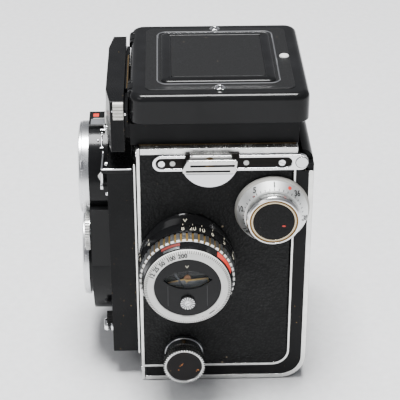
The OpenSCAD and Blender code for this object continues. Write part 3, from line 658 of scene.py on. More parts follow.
class Shape:
    """A mesh in the making, in millimetres, as a set of closed solids."""

    SMOOTH_LIMIT = 38.0

    def __init__(self) -> None:
        """Starts empty."""
        self.bm = bmesh.new()
        self.finishes: list[Finish] = []

    def _slot(self, finish: Finish) -> int:
        """Number of a finish in this shape's own list."""
        if finish not in self.finishes:
            self.finishes.append(finish)
        return self.finishes.index(finish)

    def solid(self, points: Sequence[Vector], faces: Sequence[Sequence[int]], finish: Finish,
              place: Matrix | None = None) -> "Shape":
        """Adds one closed solid and points its faces outwards."""
        place = place or Matrix.Identity(4)
        corners = [self.bm.verts.new(place @ Vector(p)) for p in points]
        index = self._slot(finish)
        made = []
        for face in faces:
            new = self.bm.faces.new([corners[i] for i in face])
            new.material_index = index
            made.append(new)
        bmesh.ops.recalc_face_normals(self.bm, faces=made)
        return self

    def loft(self, loops: Sequence[Sequence[Vector]], finish: Finish, place: Matrix | None = None,
             closed: bool = False) -> "Shape":
        """Skins a row of loops with the same number of points, and caps its two ends."""
        size = len(loops[0])
        points = [p for loop in loops for p in loop]
        faces = []
        rows = len(loops)
        for row in range(rows if closed else rows - 1):
            low, high = row * size, ((row + 1) % rows) * size
            for i in range(size):
                j = (i + 1) % size
                faces.append((low + i, low + j, high + j, high + i))
        if not closed:
            faces.append(tuple(range(size))[::-1])
            faces.append(tuple((rows - 1) * size + i for i in range(size)))
        return self.solid(points, faces, finish, place)

    def lathe(self, place: Matrix, outline: Outline, finish: Finish, ring: bool = False,
              segments: int = 144, steps: int = 3) -> "Shape":
        """Turns an outline of (radius, height) about the place's own axis.

        Args:
            place: Where the axis stands.
            outline: From the axis back to the axis, or a closed outline for a ring.
            finish: Finish of the solid.
            ring: Whether the outline is closed.
            segments: Faces round the axis.
            steps: Pieces in each softened corner.

        Returns:
            The shape itself.
        """
        profile = softened(outline, ring, steps)
        points: list[Vector] = []
        rings: list[list[int]] = []
        for radius, height in profile:
            start = len(points)
            if radius < TINY:
                points.append(Vector((0.0, 0.0, height)))
                rings.append([start])
                continue
            for i in range(segments):
                angle = math.tau * i / segments
                points.append(Vector((radius * math.cos(angle), radius * math.sin(angle), height)))
            rings.append(list(range(start, start + segments)))
        faces = []
        for row in range(len(rings) if ring else len(rings) - 1):
            low, high = rings[row], rings[(row + 1) % len(rings)]
            for i in range(segments):
                j = (i + 1) % segments
                corners = [low[i % len(low)], low[j % len(low)], high[j % len(high)], high[i % len(high)]]
                corners = list(dict.fromkeys(corners))
                if len(corners) > 2:
                    faces.append(corners)
        return self.solid(points, faces, finish, place)

    def prism(self, place: Matrix, outline: Outline, low: float, high: float, finish: Finish,
              top: float = 0.0, bottom: float = 0.0, steps: int = 3) -> "Shape":
        """Raises an outline from one height to another, with rounded rims."""
        flat = softened(outline, True, steps)
        if signed_area(flat) < 0:
            flat.reverse()
        levels = []
        if bottom > 0:
            levels += [(bottom * (1 - math.sin(a)), low + bottom * (1 - math.cos(a))) for a in arc(steps)]
        else:
            levels.append((0.0, low))
        if top > 0:
            levels += [(top * (1 - math.cos(a)), high - top * (1 - math.sin(a))) for a in arc(steps)]
        else:
            levels.append((0.0, high))
        loops = [[Vector((p.x, p.y, z)) for p in inset(flat, d)] for d, z in levels]
        return self.loft(loops, finish, place)

    def block(self, low: Sequence[float], high: Sequence[float], finish: Finish,
              place: Matrix | None = None, round_off: float = 0.0) -> "Shape":
        """A box between two corners, its upright edges and rims rounded."""
        return self.prism(place or Matrix.Identity(4), rectangle(low[:2], high[:2], round_off),
                          low[2], high[2], finish, round_off, round_off, 2)

    def mesh(self, mesh: bpy.types.Mesh, finish: Finish, place: Matrix | None = None,
             scale: float = 1.0) -> "Shape":
        """Adds a mesh that is already closed and turned the right way."""
        matrix = (place or Matrix.Identity(4)) @ Matrix.Scale(scale, 4)
        index = self._slot(finish)
        corners = [self.bm.verts.new(matrix @ v.co) for v in mesh.vertices]
        for polygon in mesh.polygons:
            if len(set(polygon.vertices)) > 2:
                try:
                    face = self.bm.faces.new([corners[i] for i in polygon.vertices])
                except ValueError:
                    continue
                face.material_index = index
        return self

    def join(self, other: "Shape", finish: Finish) -> "Shape":
        """Adds another shape in one finish."""
        mesh = bpy.data.meshes.new("joined")
        other.bm.to_mesh(mesh)
        other.bm.free()
        self.mesh(mesh, finish)
        bpy.data.meshes.remove(mesh)
        return self

    def node(self, name: str, finish: Finish) -> "Shape":
        """Adds a merged copy of a frame node, its flat faces joined."""
        copy = bmesh.new()
        copy.from_mesh(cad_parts[name].data)
        bmesh.ops.remove_doubles(copy, verts=copy.verts, dist=2e-6)
        bmesh.ops.dissolve_limit(copy, angle_limit=math.radians(1.5), verts=copy.verts, edges=copy.edges)
        mesh = bpy.data.meshes.new("copy")
        copy.to_mesh(mesh)
        copy.free()
        self.mesh(mesh, finish, scale=1.0 / MM)
        bpy.data.meshes.remove(mesh)
        return self

    def text(self, words: str, size: float, finish: Finish, place: Matrix, depth: float = 0.05,
             bold: float = 0.0, narrow: float = 1.0) -> "Shape":
        """Adds numerals, centred on their place and raised by half their depth.

        Args:
            words: The numerals.
            size: Their body height.
            finish: Finish of their faces.
            place: Where they stand.
            depth: How thick they are.
            bold: How far their strokes are thickened.
            narrow: Their width as a share of the usual one.

        Returns:
            The shape itself.
        """
        curve = bpy.data.curves.new("text", "FONT")
        curve.body = words
        curve.size = size
        curve.align_x = "CENTER"
        curve.align_y = "CENTER"
        curve.extrude = depth / 2
        curve.offset = bold
        curve.resolution_u = 3
        holder = bpy.data.objects.new("text", curve)
        bpy.context.scene.collection.objects.link(holder)
        merged = bmesh.new()
        mesh = plain_mesh(holder)
        merged.from_mesh(mesh)
        bmesh.ops.remove_doubles(merged, verts=merged.verts, dist=1e-4)
        bmesh.ops.recalc_face_normals(merged, faces=merged.faces)
        merged.to_mesh(mesh)
        merged.free()
        self.mesh(mesh, finish, place @ Matrix.Diagonal((narrow, 1.0, 1.0, 1.0)))
        bpy.data.objects.remove(holder)
        return self

    def minus(self, cutter: "Shape") -> "Shape":
        """Cuts another shape out of this one."""
        body = self._object("body")
        tool = cutter._object("tool")
        modifier = body.modifiers.new("cut", "BOOLEAN")
        modifier.operation = "DIFFERENCE"
        modifier.solver = "EXACT"
        modifier.object = tool
        mesh = plain_mesh(body)
        self.bm.clear()
        self.bm.from_mesh(mesh)
        for old in (body, tool):
            bpy.data.objects.remove(old)
        return self

    def _object(self, name: str) -> bpy.types.Object:
        """The shape as an object, still in millimetres."""
        mesh = bpy.data.meshes.new(name)
        self.bm.to_mesh(mesh)
        for finish in self.finishes:
            mesh.materials.append(finish.material())
        made = bpy.data.objects.new(name, mesh)
        bpy.context.scene.collection.objects.link(made)
        return made

    def piece(self, name: str, body: str, slot: str, *nodes: str, edge: Edge | None = None) -> bpy.types.Object:
        """Finishes the shape, parents it to its body's empty and hides the frame nodes that it stands for.

        Args:
            name: Name of the piece.
            body: Body that it rides on.
            slot: Name of a material slot; not used.
            nodes: Frame nodes that it stands for.
            edge: Bevel of its hard edges.

        Returns:
            The finished object, at the origin, with its place in its mesh.
        """
        rough = self._object(name + "_rough")
        if edge is not None:
            if edge.finish is not None:
                rough.data.materials.append(edge.finish.material())
            bevel = rough.modifiers.new("edge", "BEVEL")
            bevel.width = edge.width
            bevel.segments = edge.segments
            bevel.limit_method = "ANGLE"
            bevel.angle_limit = math.radians(edge.sharper_than)
            bevel.miter_outer = "MITER_ARC"
            bevel.material = len(rough.data.materials) - 1 if edge.finish is not None else -1
        made = bpy.data.objects.new(name, plain_mesh(rough))
        bpy.context.scene.collection.objects.link(made)
        bpy.data.objects.remove(rough)
        made.data.transform(Matrix.Scale(MM, 4))
        made.data.polygons.foreach_set("use_smooth", [True] * len(made.data.polygons))
        made.data.set_sharp_from_angle(angle=math.radians(self.SMOOTH_LIMIT))
        weighted = made.modifiers.new("shade", "WEIGHTED_NORMAL")
        weighted.keep_sharp = True
        made.data = plain_mesh(made)
        made.modifiers.clear()
        made.data.name = name
        self.bm.free()
        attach(made, body)
        if nodes:
            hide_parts(*nodes)
        LOG.info("%s: %d faces on %s", name, len(made.data.polygons), body)
        return made


def arc(steps: int) -> list[float]:
    """Angles of a quarter circle."""
    return [math.pi / 2 * k / steps for k in range(steps + 1)]


def plain_mesh(source: bpy.types.Object) -> bpy.types.Mesh:
    """Mesh of an object with its modifiers applied."""
    graph = bpy.context.evaluated_depsgraph_get()
    graph.update()
    return bpy.data.meshes.new_from_object(source.evaluated_get(graph), preserve_all_data_layers=True,
                                           depsgraph=graph)


# ---------- repeated shapes ----------


@dataclass(frozen=True)
class Repeat:
    """A shape repeated round an axis or along a line, by Geometry Nodes."""

    count: int
    radius: float = 0.0
    start: float = 0.0
    step: float = 0.0
    shift: tuple[float, float, float] = (0.0, 0.0, 0.0)
    jitter: float = 0.0
    seed: int = 7

    INPUTS = (("Element", "NodeSocketObject"), ("Count", "NodeSocketInt"), ("Radius", "NodeSocketFloat"),
              ("Start", "NodeSocketFloat"), ("Step", "NodeSocketFloat"), ("Shift", "NodeSocketVector"),
              ("Jitter", "NodeSocketFloat"), ("Seed", "NodeSocketInt"), ("Material", "NodeSocketMaterial"))

    def tree(self) -> bpy.types.NodeTree:
        """The node tree that all repeats share, built once."""
        found = bpy.data.node_groups.get("repeat")
        if found is not None:
            return found
        tree = bpy.data.node_groups.new("repeat", "GeometryNodeTree")
        tree.interface.new_socket("Geometry", in_out="INPUT", socket_type="NodeSocketGeometry")
        for name, kind in self.INPUTS:
            tree.interface.new_socket(name, in_out="INPUT", socket_type=kind)
        tree.interface.new_socket("Geometry", in_out="OUTPUT", socket_type="NodeSocketGeometry")
        graph = Graph(tree)
        given = graph.node("NodeGroupInput").outputs
        index = graph.value("GeometryNodeInputIndex")
        angle = Value(graph, given["Start"]) + index * Value(graph, given["Step"])
        radius = Value(graph, given["Radius"])
        spoke = graph.node("ShaderNodeCombineXYZ", None, {
            "X": radius * angle.cosine(), "Y": radius * angle.sine()}).outputs[0]
        shift = graph.node("ShaderNodeVectorMath", {"operation": "SCALE"},
                           {0: given["Shift"], "Scale": index}).outputs[0]
        place = graph.node("ShaderNodeVectorMath", {"operation": "ADD"}, {0: spoke, 1: shift}).outputs[0]
        points = graph.node("GeometryNodePoints", None, {"Count": given["Count"], "Position": place})
        spread = Value(graph, given["Jitter"])
        size = graph.node("FunctionNodeRandomValue", {"data_type": "FLOAT"}, {
            2: 1.0 - spread, 3: 1.0 + spread, "Seed": given["Seed"]}).outputs[1]
        element = graph.node("GeometryNodeObjectInfo", None, {"Object": given["Element"]})
        copies = graph.node("GeometryNodeInstanceOnPoints", None, {
            "Points": points.outputs[0], "Instance": element.outputs["Geometry"],
            "Rotation": graph.node("ShaderNodeCombineXYZ", None, {"Z": angle}).outputs[0],
            "Scale": size})
        whole = graph.node("GeometryNodeRealizeInstances", None, {0: copies.outputs[0]})
        dressed = graph.node("GeometryNodeSetMaterial", None, {
            "Geometry": whole.outputs[0], "Material": given["Material"]})
        graph.node("NodeGroupOutput", None, {0: dressed.outputs[0]})
        return tree

    def mesh(self, element: Shape) -> bpy.types.Mesh:
        """Repeats a shape that is drawn with X away from the axis and Z along it."""
        sample = element._object("element")
        holder = bpy.data.objects.new("row", bpy.data.meshes.new("row"))
        bpy.context.scene.collection.objects.link(holder)
        modifier = holder.modifiers.new("repeat", "NODES")
        modifier.node_group = self.tree()
        given = {
            "Element": sample, "Count": self.count, "Radius": self.radius,
            "Start": math.radians(self.start), "Step": math.radians(self.step), "Shift": self.shift,
            "Jitter": self.jitter, "Seed": self.seed, "Material": element.finishes[0].material()}
        for item in self.tree().interface.items_tree:
            if item.item_type == "SOCKET" and item.in_out == "INPUT" and item.name in given:
                modifier[item.identifier] = given[item.name]
        mesh = plain_mesh(holder)
        for old in (holder, sample):
            bpy.data.objects.remove(old)
        return mesh

    def add(self, shape: Shape, element: Shape, place: Matrix) -> Shape:
        """Adds the repeated shape to another at a place."""
        return shape.mesh(self.mesh(element), element.finishes[0], place)


def slotted_screw(shape: Shape, place: Matrix, radius: float, height: float, base: float,
                  finish: Finish = BRIGHT) -> Shape:
    """Adds a domed screw head with a real slot: two half heads on a dark floor."""
    half_gap = 0.14 * radius
    shape.lathe(place, [(0, base), (radius, base), (radius, base + 0.45 * height), (0, base + 0.45 * height)],
                finish, segments=32)
    for sign in (1, -1):
        outline = []
        limit = math.acos(half_gap / radius)
        for k in range(13):
            angle = sign * (math.pi / 2) + limit * (k / 6.0 - 1.0)
            outline.append((radius * math.cos(angle), radius * math.sin(angle)))
        shape.prism(place, outline, base + 0.4 * height, base + height, finish, top=0.28 * height, steps=2)
    return shape


# ---------- sub-assemblies ----------


@dataclass
class Body:
    """Fixed body: walls, deck, trim lines, leathers and what is inside."""

    edge: float = 0.25
    leather_edge: float = 0.35

    def build(self) -> None:
        """Makes every piece of the fixed body."""
        self.shells()
        self.trims()
        self.inside()

    def shells(self) -> None:
        """Front plate, deck and side leathers."""
        Shape().node("front_plate", ENAMEL).piece(
            "front_casting", "camera_body", "black_paint", "front_plate", edge=Edge(self.edge, ENAMEL_EDGE))
        Shape().node("top_deck", DECK).piece(
            "deck_plate", "camera_body", "satin_chrome", "top_deck", edge=Edge(self.edge, SATIN_EDGE, 3))
        Shape().node("side_leathers", LEATHER).piece(
            "side_leather_panels", "camera_body", "leather", "side_leathers", edge=Edge(self.leather_edge))

    def trims(self) -> None:
        """Bright uprights, the thin line round each side, and the frame round the standard."""
        lines = Shape()
        for side, sign in ((Side.KNOB, 1.0), (Side.CRANK, -1.0)):
            place = seat(side, Vector((0, 0, 0)))
            upright = [(-38.5, 0.0, 0.5), (-37.15, 0.0, 0.5), (-37.15, 123.5), (-38.5, 123.5, 1.6)]
            lines.prism(place, mirrored(upright, sign), 38.6, 40.02, LINE, top=0.2)
            thin = [(-37.2, 7.4), (30.7, 7.4, 8.0), (30.7, 112.7), (29.8, 112.7), (29.8, 8.6, 7.1), (-37.2, 8.6)]
            lines.prism(place, mirrored(thin, sign), 39.5, 40.0, LINE, top=0.15, steps=8)
        place = seat(Side.LENS, Vector((0, 0, 0)))
        flat = softened(rectangle((-36.2, 12.3), (36.2, 113.8), 0.6), True, 3)
        lines.loft([[Vector((p.x, p.y, h)) for p in inset(flat, d)]
                    for d, h in ((0.0, 39.3), (0.0, 40.0), (1.2, 40.0), (1.2, 39.3))], LINE, place, closed=True)
        lines.piece("bright_lines", "camera_body", "satin_chrome", "body_trims")
        step = Shape().loft([[Vector((p.x, p.y, h)) for p in inset(flat, d)]
                             for d, h in ((0.3, 38.4), (0.3, 39.35), (1.2, 39.35), (1.2, 38.4))], FLOCK, place,
                            closed=True)
        step.piece("standard_frame_step", "camera_body", "black_paint")

    def inside(self) -> None:
        """Gives the inner nodes their finishes."""
        for nodes, finish in (
                (("left_wall", "right_wall", "pressure_plate"), CASTING), (("light_box",), FLOCK),
                (("film_gate",), ALLOY), (("viewing_mirror",), MIRROR), (("focusing_screen",), GROUND),
                (("hinge_pins", "lower_film_roller", "upper_film_roller"), STEEL),
                (("upper_sleeve", "lower_sleeve"), ALLOY), (("shutter_blades",), BLUED)):
            for node in nodes:
                dress(node, finish)


@dataclass
class StrapFittings:
    """Strap plates with their lugs, catches, screws and rivets, the same on both sides."""

    recess: float = 0.4
    disc_radius: float = 2.85

    def build(self) -> None:
        """Makes the fittings of both sides."""
        Shape().node("strap_plates", BRIGHT).piece(
            "strap_bars", "camera_body", "satin_chrome", "strap_plates", edge=Edge(0.3, BRIGHT, 3))
        self.inlays()
        self.lugs()
        self.screws()

    def inlays(self) -> None:
        """Dark floors of the recesses, dark patches of painted shade on the plates, and the engraved discs at the rear
        ends.
        """
        inlay, discs = Shape(), Shape()
        low, high = span("strap_plates")
        top = high.x
        mid_z = (low.z + high.z) / 2
        for side, sign in ((Side.KNOB, 1.0), (Side.CRANK, -1.0)):
            place = seat(side, Vector((0, 0, mid_z)))
            floor = rectangle((low.y + 1.5, -2.35), (high.y - 7.2, 2.45), 2.3)
            inlay.prism(place, mirrored(floor, sign), top - self.recess - 0.02, top - self.recess + 0.06, DARK_INLAY_AND_SHADE)
            # Two dark patches on each plate's face: painted shade.
            shade = rectangle((-17.6, 2.2), (-15.4, 4.6), 0.2)
            inlay.prism(place, mirrored(shade, sign), top - 0.3, top + 0.25, DARK_INLAY_AND_SHADE)
            shade = rectangle((1.4, 2.4), (6.0, 4.6), 0.2)
            inlay.prism(place, mirrored(shade, sign), top - 0.3, top + 0.25, DARK_INLAY_AND_SHADE)
            discs.lathe(place @ Matrix.Translation((sign * 33.0, 0, 0)), [
                (0, top - 0.1), (self.disc_radius, top - 0.1), (self.disc_radius, top + 0.02),
                (self.disc_radius - 0.22, top + 0.02), (self.disc_radius - 0.22, top + 0.26, 0.12),
                (self.disc_radius - 1.0, top + 0.2), (0, top + 0.24)], SATIN, segments=64)
            discs.lathe(place @ Matrix.Translation((sign * 33.0, 0, 0)), [
                (self.disc_radius - 0.24, top - 0.1), (self.disc_radius + 0.06, top - 0.1),
                (self.disc_radius + 0.06, top + 0.04), (self.disc_radius - 0.24, top + 0.04)], DARK_INLAY_AND_SHADE, ring=True,
                segments=64)
        inlay.piece("strap_bar_inlays", "camera_body", "gloss_black")
        discs.piece("strap_bar_discs", "camera_body", "satin_chrome")

    def lugs(self) -> None:
        """Half-moon lips under slotted eyelets with a painted shadow strip below each plate and painted shade on the
        slot floors, and the catches over them.
        """
        lip, raised, dark = Shape(), Shape(), Shape()
        for side, sign in ((Side.KNOB, 1.0), (Side.CRANK, -1.0)):
            place = seat(side, Vector((0, 0, 0)))
            moon = [(-7.0 + 12.3 * math.cos(a), 118.2 + 12.3 * math.sin(a))
                    for a in (math.radians(200.5 + 139.0 * k / 36) for k in range(37))]
            lip.prism(place, mirrored(moon, sign), 41.15, 43.2, SATIN, top=0.3)
            # Grey strip under the plate's lower edge: a painted shadow.
            lip.prism(place, mirrored(rectangle((-17.2, 112.3), (3.2, 113.6), 0.3), sign), 43.1, 43.26, RING_GREY)
            plate = [(-16.6, 119.9, 1.4), (-18.9, 115.2, 0.8), (-18.4, 113.5, 0.5), (4.5, 113.3, 1.6),
                     (5.0, 119.9, 0.9)]
            upper = Shape().prism(place, mirrored(plate, sign), 41.2, 44.6, LIP_CHROME, top=0.35, steps=5)
            cutter = Shape()
            for low, high in (((-15.4, 116.7), (3.8, 117.75)), ((-17.4, 114.15), (1.9, 115.1))):
                slot = mirrored(rectangle(low, high, 0.3), sign)
                cutter.prism(place, slot, 42.0, 46.0, DARK_INLAY_AND_SHADE)
                # Dark floor in each slot: painted shade.
                dark.prism(place, slot, 42.0, 42.3, DARK_INLAY_AND_SHADE)
            upper.minus(cutter)
            raised.join(upper, LIP_CHROME)
            catch = Shape().prism(place, mirrored(rectangle((-14.8, 119.6), (2.6, 121.4), 0.3), sign), 41.2, 43.0,
                                  LIP_CHROME, top=0.25)
            notch = Shape().lathe(place @ Matrix.Translation((sign * -7.0, 118.7, 0)), [
                (0, 42.2), (2.1, 42.2), (2.1, 44.0), (0, 44.0)], DARK_INLAY_AND_SHADE, segments=40)
            catch.minus(notch)
            raised.join(catch, LIP_CHROME)
            dark.lathe(place @ Matrix.Translation((sign * -7.0, 118.7, 0)), [
                (0, 42.1), (2.05, 42.1), (2.05, 42.35), (1.6, 42.35), (0, 42.3)], BROWN_RING, segments=40)
        lip.piece("strap_lips", "camera_body", "satin_chrome")
        raised.piece("strap_eyelets", "camera_body", "satin_chrome", "strap_lugs")
        dark.piece("strap_eyelet_floors", "camera_body", "gloss_black")

    def screws(self) -> None:
        """Screws and rivets of the bars and the front plate."""
        screws = Shape()
        low, high = span("strap_plates")
        base = high.x - self.recess
        mid_z = (low.z + high.z) / 2
        for side, sign in ((Side.KNOB, 1.0), (Side.CRANK, -1.0)):
            place = seat(side, Vector((0, 0, mid_z)))
            for y, tilt in ((-27.7, 70.0), (24.4, -20.0)):
                slotted_screw(screws, place @ Matrix.Translation((sign * y, 0, 0)) @ turn(tilt, "Z"), 1.5, 0.55, base)
            for y in (-22.9, 8.9):
                screws.lathe(place @ Matrix.Translation((sign * y, 0, 0)), [
                    (0, base), (1.2, base), (1.2, base + 0.15), (0.8, base + 0.42), (0, base + 0.5)],
                    IVORY_METAL, segments=24)
        for x in (-36.0, 36.0):
            for z in (4.0, 119.0):
                place = seat(Side.LENS, Vector((x, 0, z)))
                slotted_screw(screws, place @ turn(30.0 + z, "Z"), 1.3, 0.4, -span("front_plate")[0].y)
        screws.piece("body_screw_heads", "camera_body", "bright_chrome", "body_screws")


@dataclass
class Hood:
    """Folding hood: base, lid with its finder flap, the flaps and the magnifier."""

    front_y: float = -41.0
    rear_y: float = 36.0
    corner: float = 6.0
    rim: float = 3.0
    wall: float = 1.4
    crown: float = 147.9
    field_inset: float = 6.0
    frame_half: float = 28.6
    frame_front: float = -29.2
    frame_rear: float = 24.2
    stud_x: float = 32.0
    stud_y: float = -2.3
    button_y: float = 27.6

    def build(self) -> None:
        """Makes the hood's pieces."""
        self.lid()
        self.field()
        self.flap()
        self.studs()
        self.base()
        self.folding()

    def lid(self) -> None:
        """The deep lid, hollow below, with hinge knuckles and the notches beside them."""
        low, high = span("hood_lid")
        half = high.x
        steps = 6
        levels = [(self.wall, self.crown - 1.8), (self.wall, low.z), (0.25, low.z), (0.0, low.z + 0.25)]
        levels += [(self.rim * (1 - math.cos(a)), self.crown - self.rim * (1 - math.sin(a)))
                   for a in arc(steps)]
        flat = softened(rectangle((-half, self.front_y), (half, self.rear_y), self.corner), True, 8)
        place = Matrix.Identity(4)
        shell = Shape().loft([[Vector((p.x, p.y, z)) for p in inset(flat, d)] for d, z in levels], GLOSS)
        cutter = Shape()
        for sign in (-1, 1):
            ends = sorted((sign * 23.5, sign * 29.5))
            cutter.block((ends[0], self.front_y - 4, low.z - 4), (ends[1], -38.2, self.crown - 0.4), GLOSS, place)
        shell.minus(cutter)
        hinge = seat(Side.KNOB, Vector((0, -40.0, 145.5)))
        for sign in (-1, 1):
            for x in (21.0, 29.8):
                ends = sorted((sign * x, sign * (x + 2.2)))
                shell.lathe(hinge, [(0.95, ends[0]), (1.9, ends[0], 0.2), (1.9, ends[1], 0.2), (0.95, ends[1])],
                            GLOSS, ring=True, segments=32)
        shell.piece("lid_shell", "lid", "black_paint", "hood_lid", edge=Edge(0.22, GLOSS_EDGE, 2, 50.0))

    def field(self) -> None:
        """Fine leatherette on the lid's top, with the bright frame round the flap."""
        half = span("hood_lid")[1].x - self.field_inset
        low = (-half, self.front_y + self.field_inset + 0.8)
        high = (half, self.rear_y - self.field_inset)
        Shape().prism(Matrix.Identity(4), rectangle(low, high, 3.2), self.crown - 0.2, self.crown + 0.3,
                      LEATHERETTE, top=0.25).piece("lid_leatherette", "lid", "leather")
        flat = softened(rectangle((-self.frame_half, self.frame_front), (self.frame_half, self.frame_rear), 4.4),
                        True, 8)
        base = self.crown + 0.1
        crest = self.crown + 0.85
        levels = [(0.0, base), (0.0, crest - 0.2), (0.2, crest), (0.55, crest), (0.75, crest - 0.2), (0.75, base)]
        Shape().loft([[Vector((p.x, p.y, z)) for p in inset(flat, d)] for d, z in levels], BRIGHT,
                     closed=True).piece("finder_frame", "lid", "satin_chrome")

    def flap(self) -> None:
        """Pillow-edged finder flap with a sunk leatherette panel."""
        low, high = span("finder_flap")
        flat = softened(rectangle((low.x, low.y), (high.x, high.y), 3.4), True, 8)
        crest = high.z
        base = self.crown + 0.15
        levels = [(0.0, base), (0.0, base + 0.3)]
        levels += [(3.0 * (1 - math.cos(a)), crest - (crest - base - 0.3) * (1 - math.sin(a))) for a in arc(7)]
        levels += [(3.9, crest), (4.2, crest - 0.12), (4.35, crest - 0.35)]
        Shape().loft([[Vector((p.x, p.y, z)) for p in inset(flat, d)] for d, z in levels], GLOSS).piece(
            "finder_flap_frame", "lid", "black_paint", "finder_flap")
        panel = [(low.x + 4.5, low.y + 4.5), (high.x - 4.5, high.y - 4.5)]
        Shape().prism(Matrix.Identity(4), rectangle(*panel, 1.4), crest - 0.5, crest - 0.14, LEATHERETTE,
                      top=0.2).piece("finder_flap_panel", "lid", "leather")

    def studs(self) -> None:
        """Eyelets on both sides of the flap, filled with matt black discs as painted shade of their holes, and the
        catch button behind it.
        """
        studs = Shape()
        top = self.crown + 0.2
        for x in (-self.stud_x, self.stud_x):
            place = Matrix.Translation((x, self.stud_y, 0))
            studs.lathe(place, [(1.05, top), (2.25, top), (2.25, top + 0.3, 0.15), (1.9, top + 0.8, 0.3),
                                (1.3, top + 0.8, 0.2), (1.05, top + 0.5)], BRIGHT, ring=True, segments=40)
            lobe = Shape().lathe(Matrix.Identity(4), [
                (0, top), (0.34, top), (0.34, top + 0.3, 0.1), (0, top + 0.42)], BRIGHT, segments=10, steps=2)
            Repeat(6, radius=2.15, start=30.0, step=60.0).add(studs, lobe, place)
        place = Matrix.Translation((0, self.button_y, 0))
        studs.lathe(place, [(0, top), (2.1, top), (2.1, top + 0.5, 0.25), (1.6, top + 0.95, 0.4),
                            (0, top + 1.05)], IVORY_METAL, segments=48)
        studs.piece("lid_eyelets", "lid", "bright_chrome")
        # Matt black discs fill the eyelets: painted shade standing for their holes.
        holes = Shape()
        for x in (-self.stud_x, self.stud_x):
            holes.lathe(Matrix.Translation((x, self.stud_y, 0)), [
                (0, top - 0.1), (1.1, top - 0.1), (1.1, top + 0.22), (0, top + 0.2)], FLOCK, segments=24)
        holes.piece("lid_eyelet_holes", "lid", "gloss_black")

    def base(self) -> None:
        """Wall under the lid with the ears and posts of the hinges."""
        Shape().node("hood_base", HOOD_BASE).piece(
            "hood_wall", "camera_body", "black_paint", "hood_base", edge=Edge(0.3, ENAMEL_EDGE))
        apron = Shape().block((-34.0, -43.3, 131.0), (34.0, -41.7, 139.3), ENAMEL, round_off=0.2)
        apron.block((-19.0, -43.3, 139.0), (17.0, -41.75, 141.4), ENAMEL, round_off=0.2)
        apron.block((-18.8, -42.6, 141.3), (16.8, -42.0, 141.55), WORN_BRASS, round_off=0.05)
        apron.piece("hood_apron", "camera_body", "black_paint")
        seam = Shape()
        for sign in (-1.0, 1.0):
            ends = sorted((sign * 35.9, sign * 36.25))
            seam.block((ends[0], -37.5, 123.45), (ends[1], 30.5, 123.75), WORN_BRASS, round_off=0.05)
        seam.piece("hood_wall_seam", "camera_body", "black_paint")

    def folding(self) -> None:
        """Flaps and magnifier, which show when the lid is up."""
        for node in ("left_flap", "right_flap", "rear_flap"):
            Shape().node(node, GLOSS).piece(node + "_leaf", node, "black_paint", node,
                                            edge=Edge(0.15, GLOSS_EDGE))
        Shape().node("magnifier_frame", GREY_ALLOY).piece(
            "magnifier_carrier", "magnifier", "satin_alloy", "magnifier_frame", edge=Edge(0.2, SATIN_EDGE))
        low, high = span("magnifier_lens")
        radius = (high.x - low.x) / 2
        place = Matrix.Translation((0, (low.y + high.y) / 2, 0))
        Shape().lathe(place, [(0, low.z), (radius - 0.05, low.z + 0.5), (radius - 0.05, high.z - 0.5),
                              (radius * 0.7, high.z - 0.16), (radius * 0.35, high.z - 0.03), (0, high.z)],
                      CLEAR).piece("magnifier_glass", "magnifier", "optics", "magnifier_lens")


@dataclass
class MeterHead:
    """Light cell housing over the standard."""

    rib_pitch: float = 1.0

    def build(self) -> None:
        """Makes the housing, the ribbed window and the contact block."""
        Shape().node("meter_head", ENAMEL).piece(
            "cell_housing", "camera_body", "black_paint", "meter_head", edge=Edge(0.35, ENAMEL_EDGE, 3))
        low, high = span("meter_cell")
        window = Shape().block(low, high, CELL)
        rib = Shape().lathe(Matrix.Identity(4), [
            (0, low.z + 0.3), (0.46 * self.rib_pitch, low.z + 0.3), (0.46 * self.rib_pitch, high.z - 0.3),
            (0, high.z - 0.3)], RIB_WHITE, segments=12)
        count = int((high.x - low.x - 1.0) / self.rib_pitch)
        first = Matrix.Translation(((low.x + high.x - self.rib_pitch * (count - 1)) / 2, -51.75, 0))
        Repeat(count, shift=(self.rib_pitch, 0, 0)).add(window, rib, first)
        window.piece("cell_window", "camera_body", "cell", "meter_cell")
        knuckles = Shape()
        for x in (-26.8, 26.8):
            knuckles.lathe(seat(Side.LENS, Vector((x, 0, 127.5))), [
                (0, 51.2), (1.0, 51.2), (1.0, 52.2, 0.3), (0, 52.5)], BRIGHT, segments=24)
            knuckles.lathe(seat(Side.KNOB, Vector((0, -52.0, 128.6))), [
                (0, x - 1.0), (0.55, x - 1.0, 0.2), (0.55, x + 1.0, 0.2), (0, x + 1.0)], BRIGHT, segments=20)
        knuckles.piece("cell_knuckles", "camera_body", "bright_chrome")
        Shape().node("contact_block", IVORY).piece(
            "contact_strip", "camera_body", "ivory", "contact_block", edge=Edge(0.15))
        studs = Shape()
        for y, z, radius in ((-48.3, 139.6, 0.45), (-42.9, 138.0, 0.55)):
            studs.lathe(seat(Side.KNOB, Vector((0, y, z))), [
                (0, 34.0), (radius, 34.0), (radius, 35.9, 0.2), (0, 36.1)], BRIGHT, segments=20)
        studs.piece("contact_pins", "camera_body", "bright_chrome")


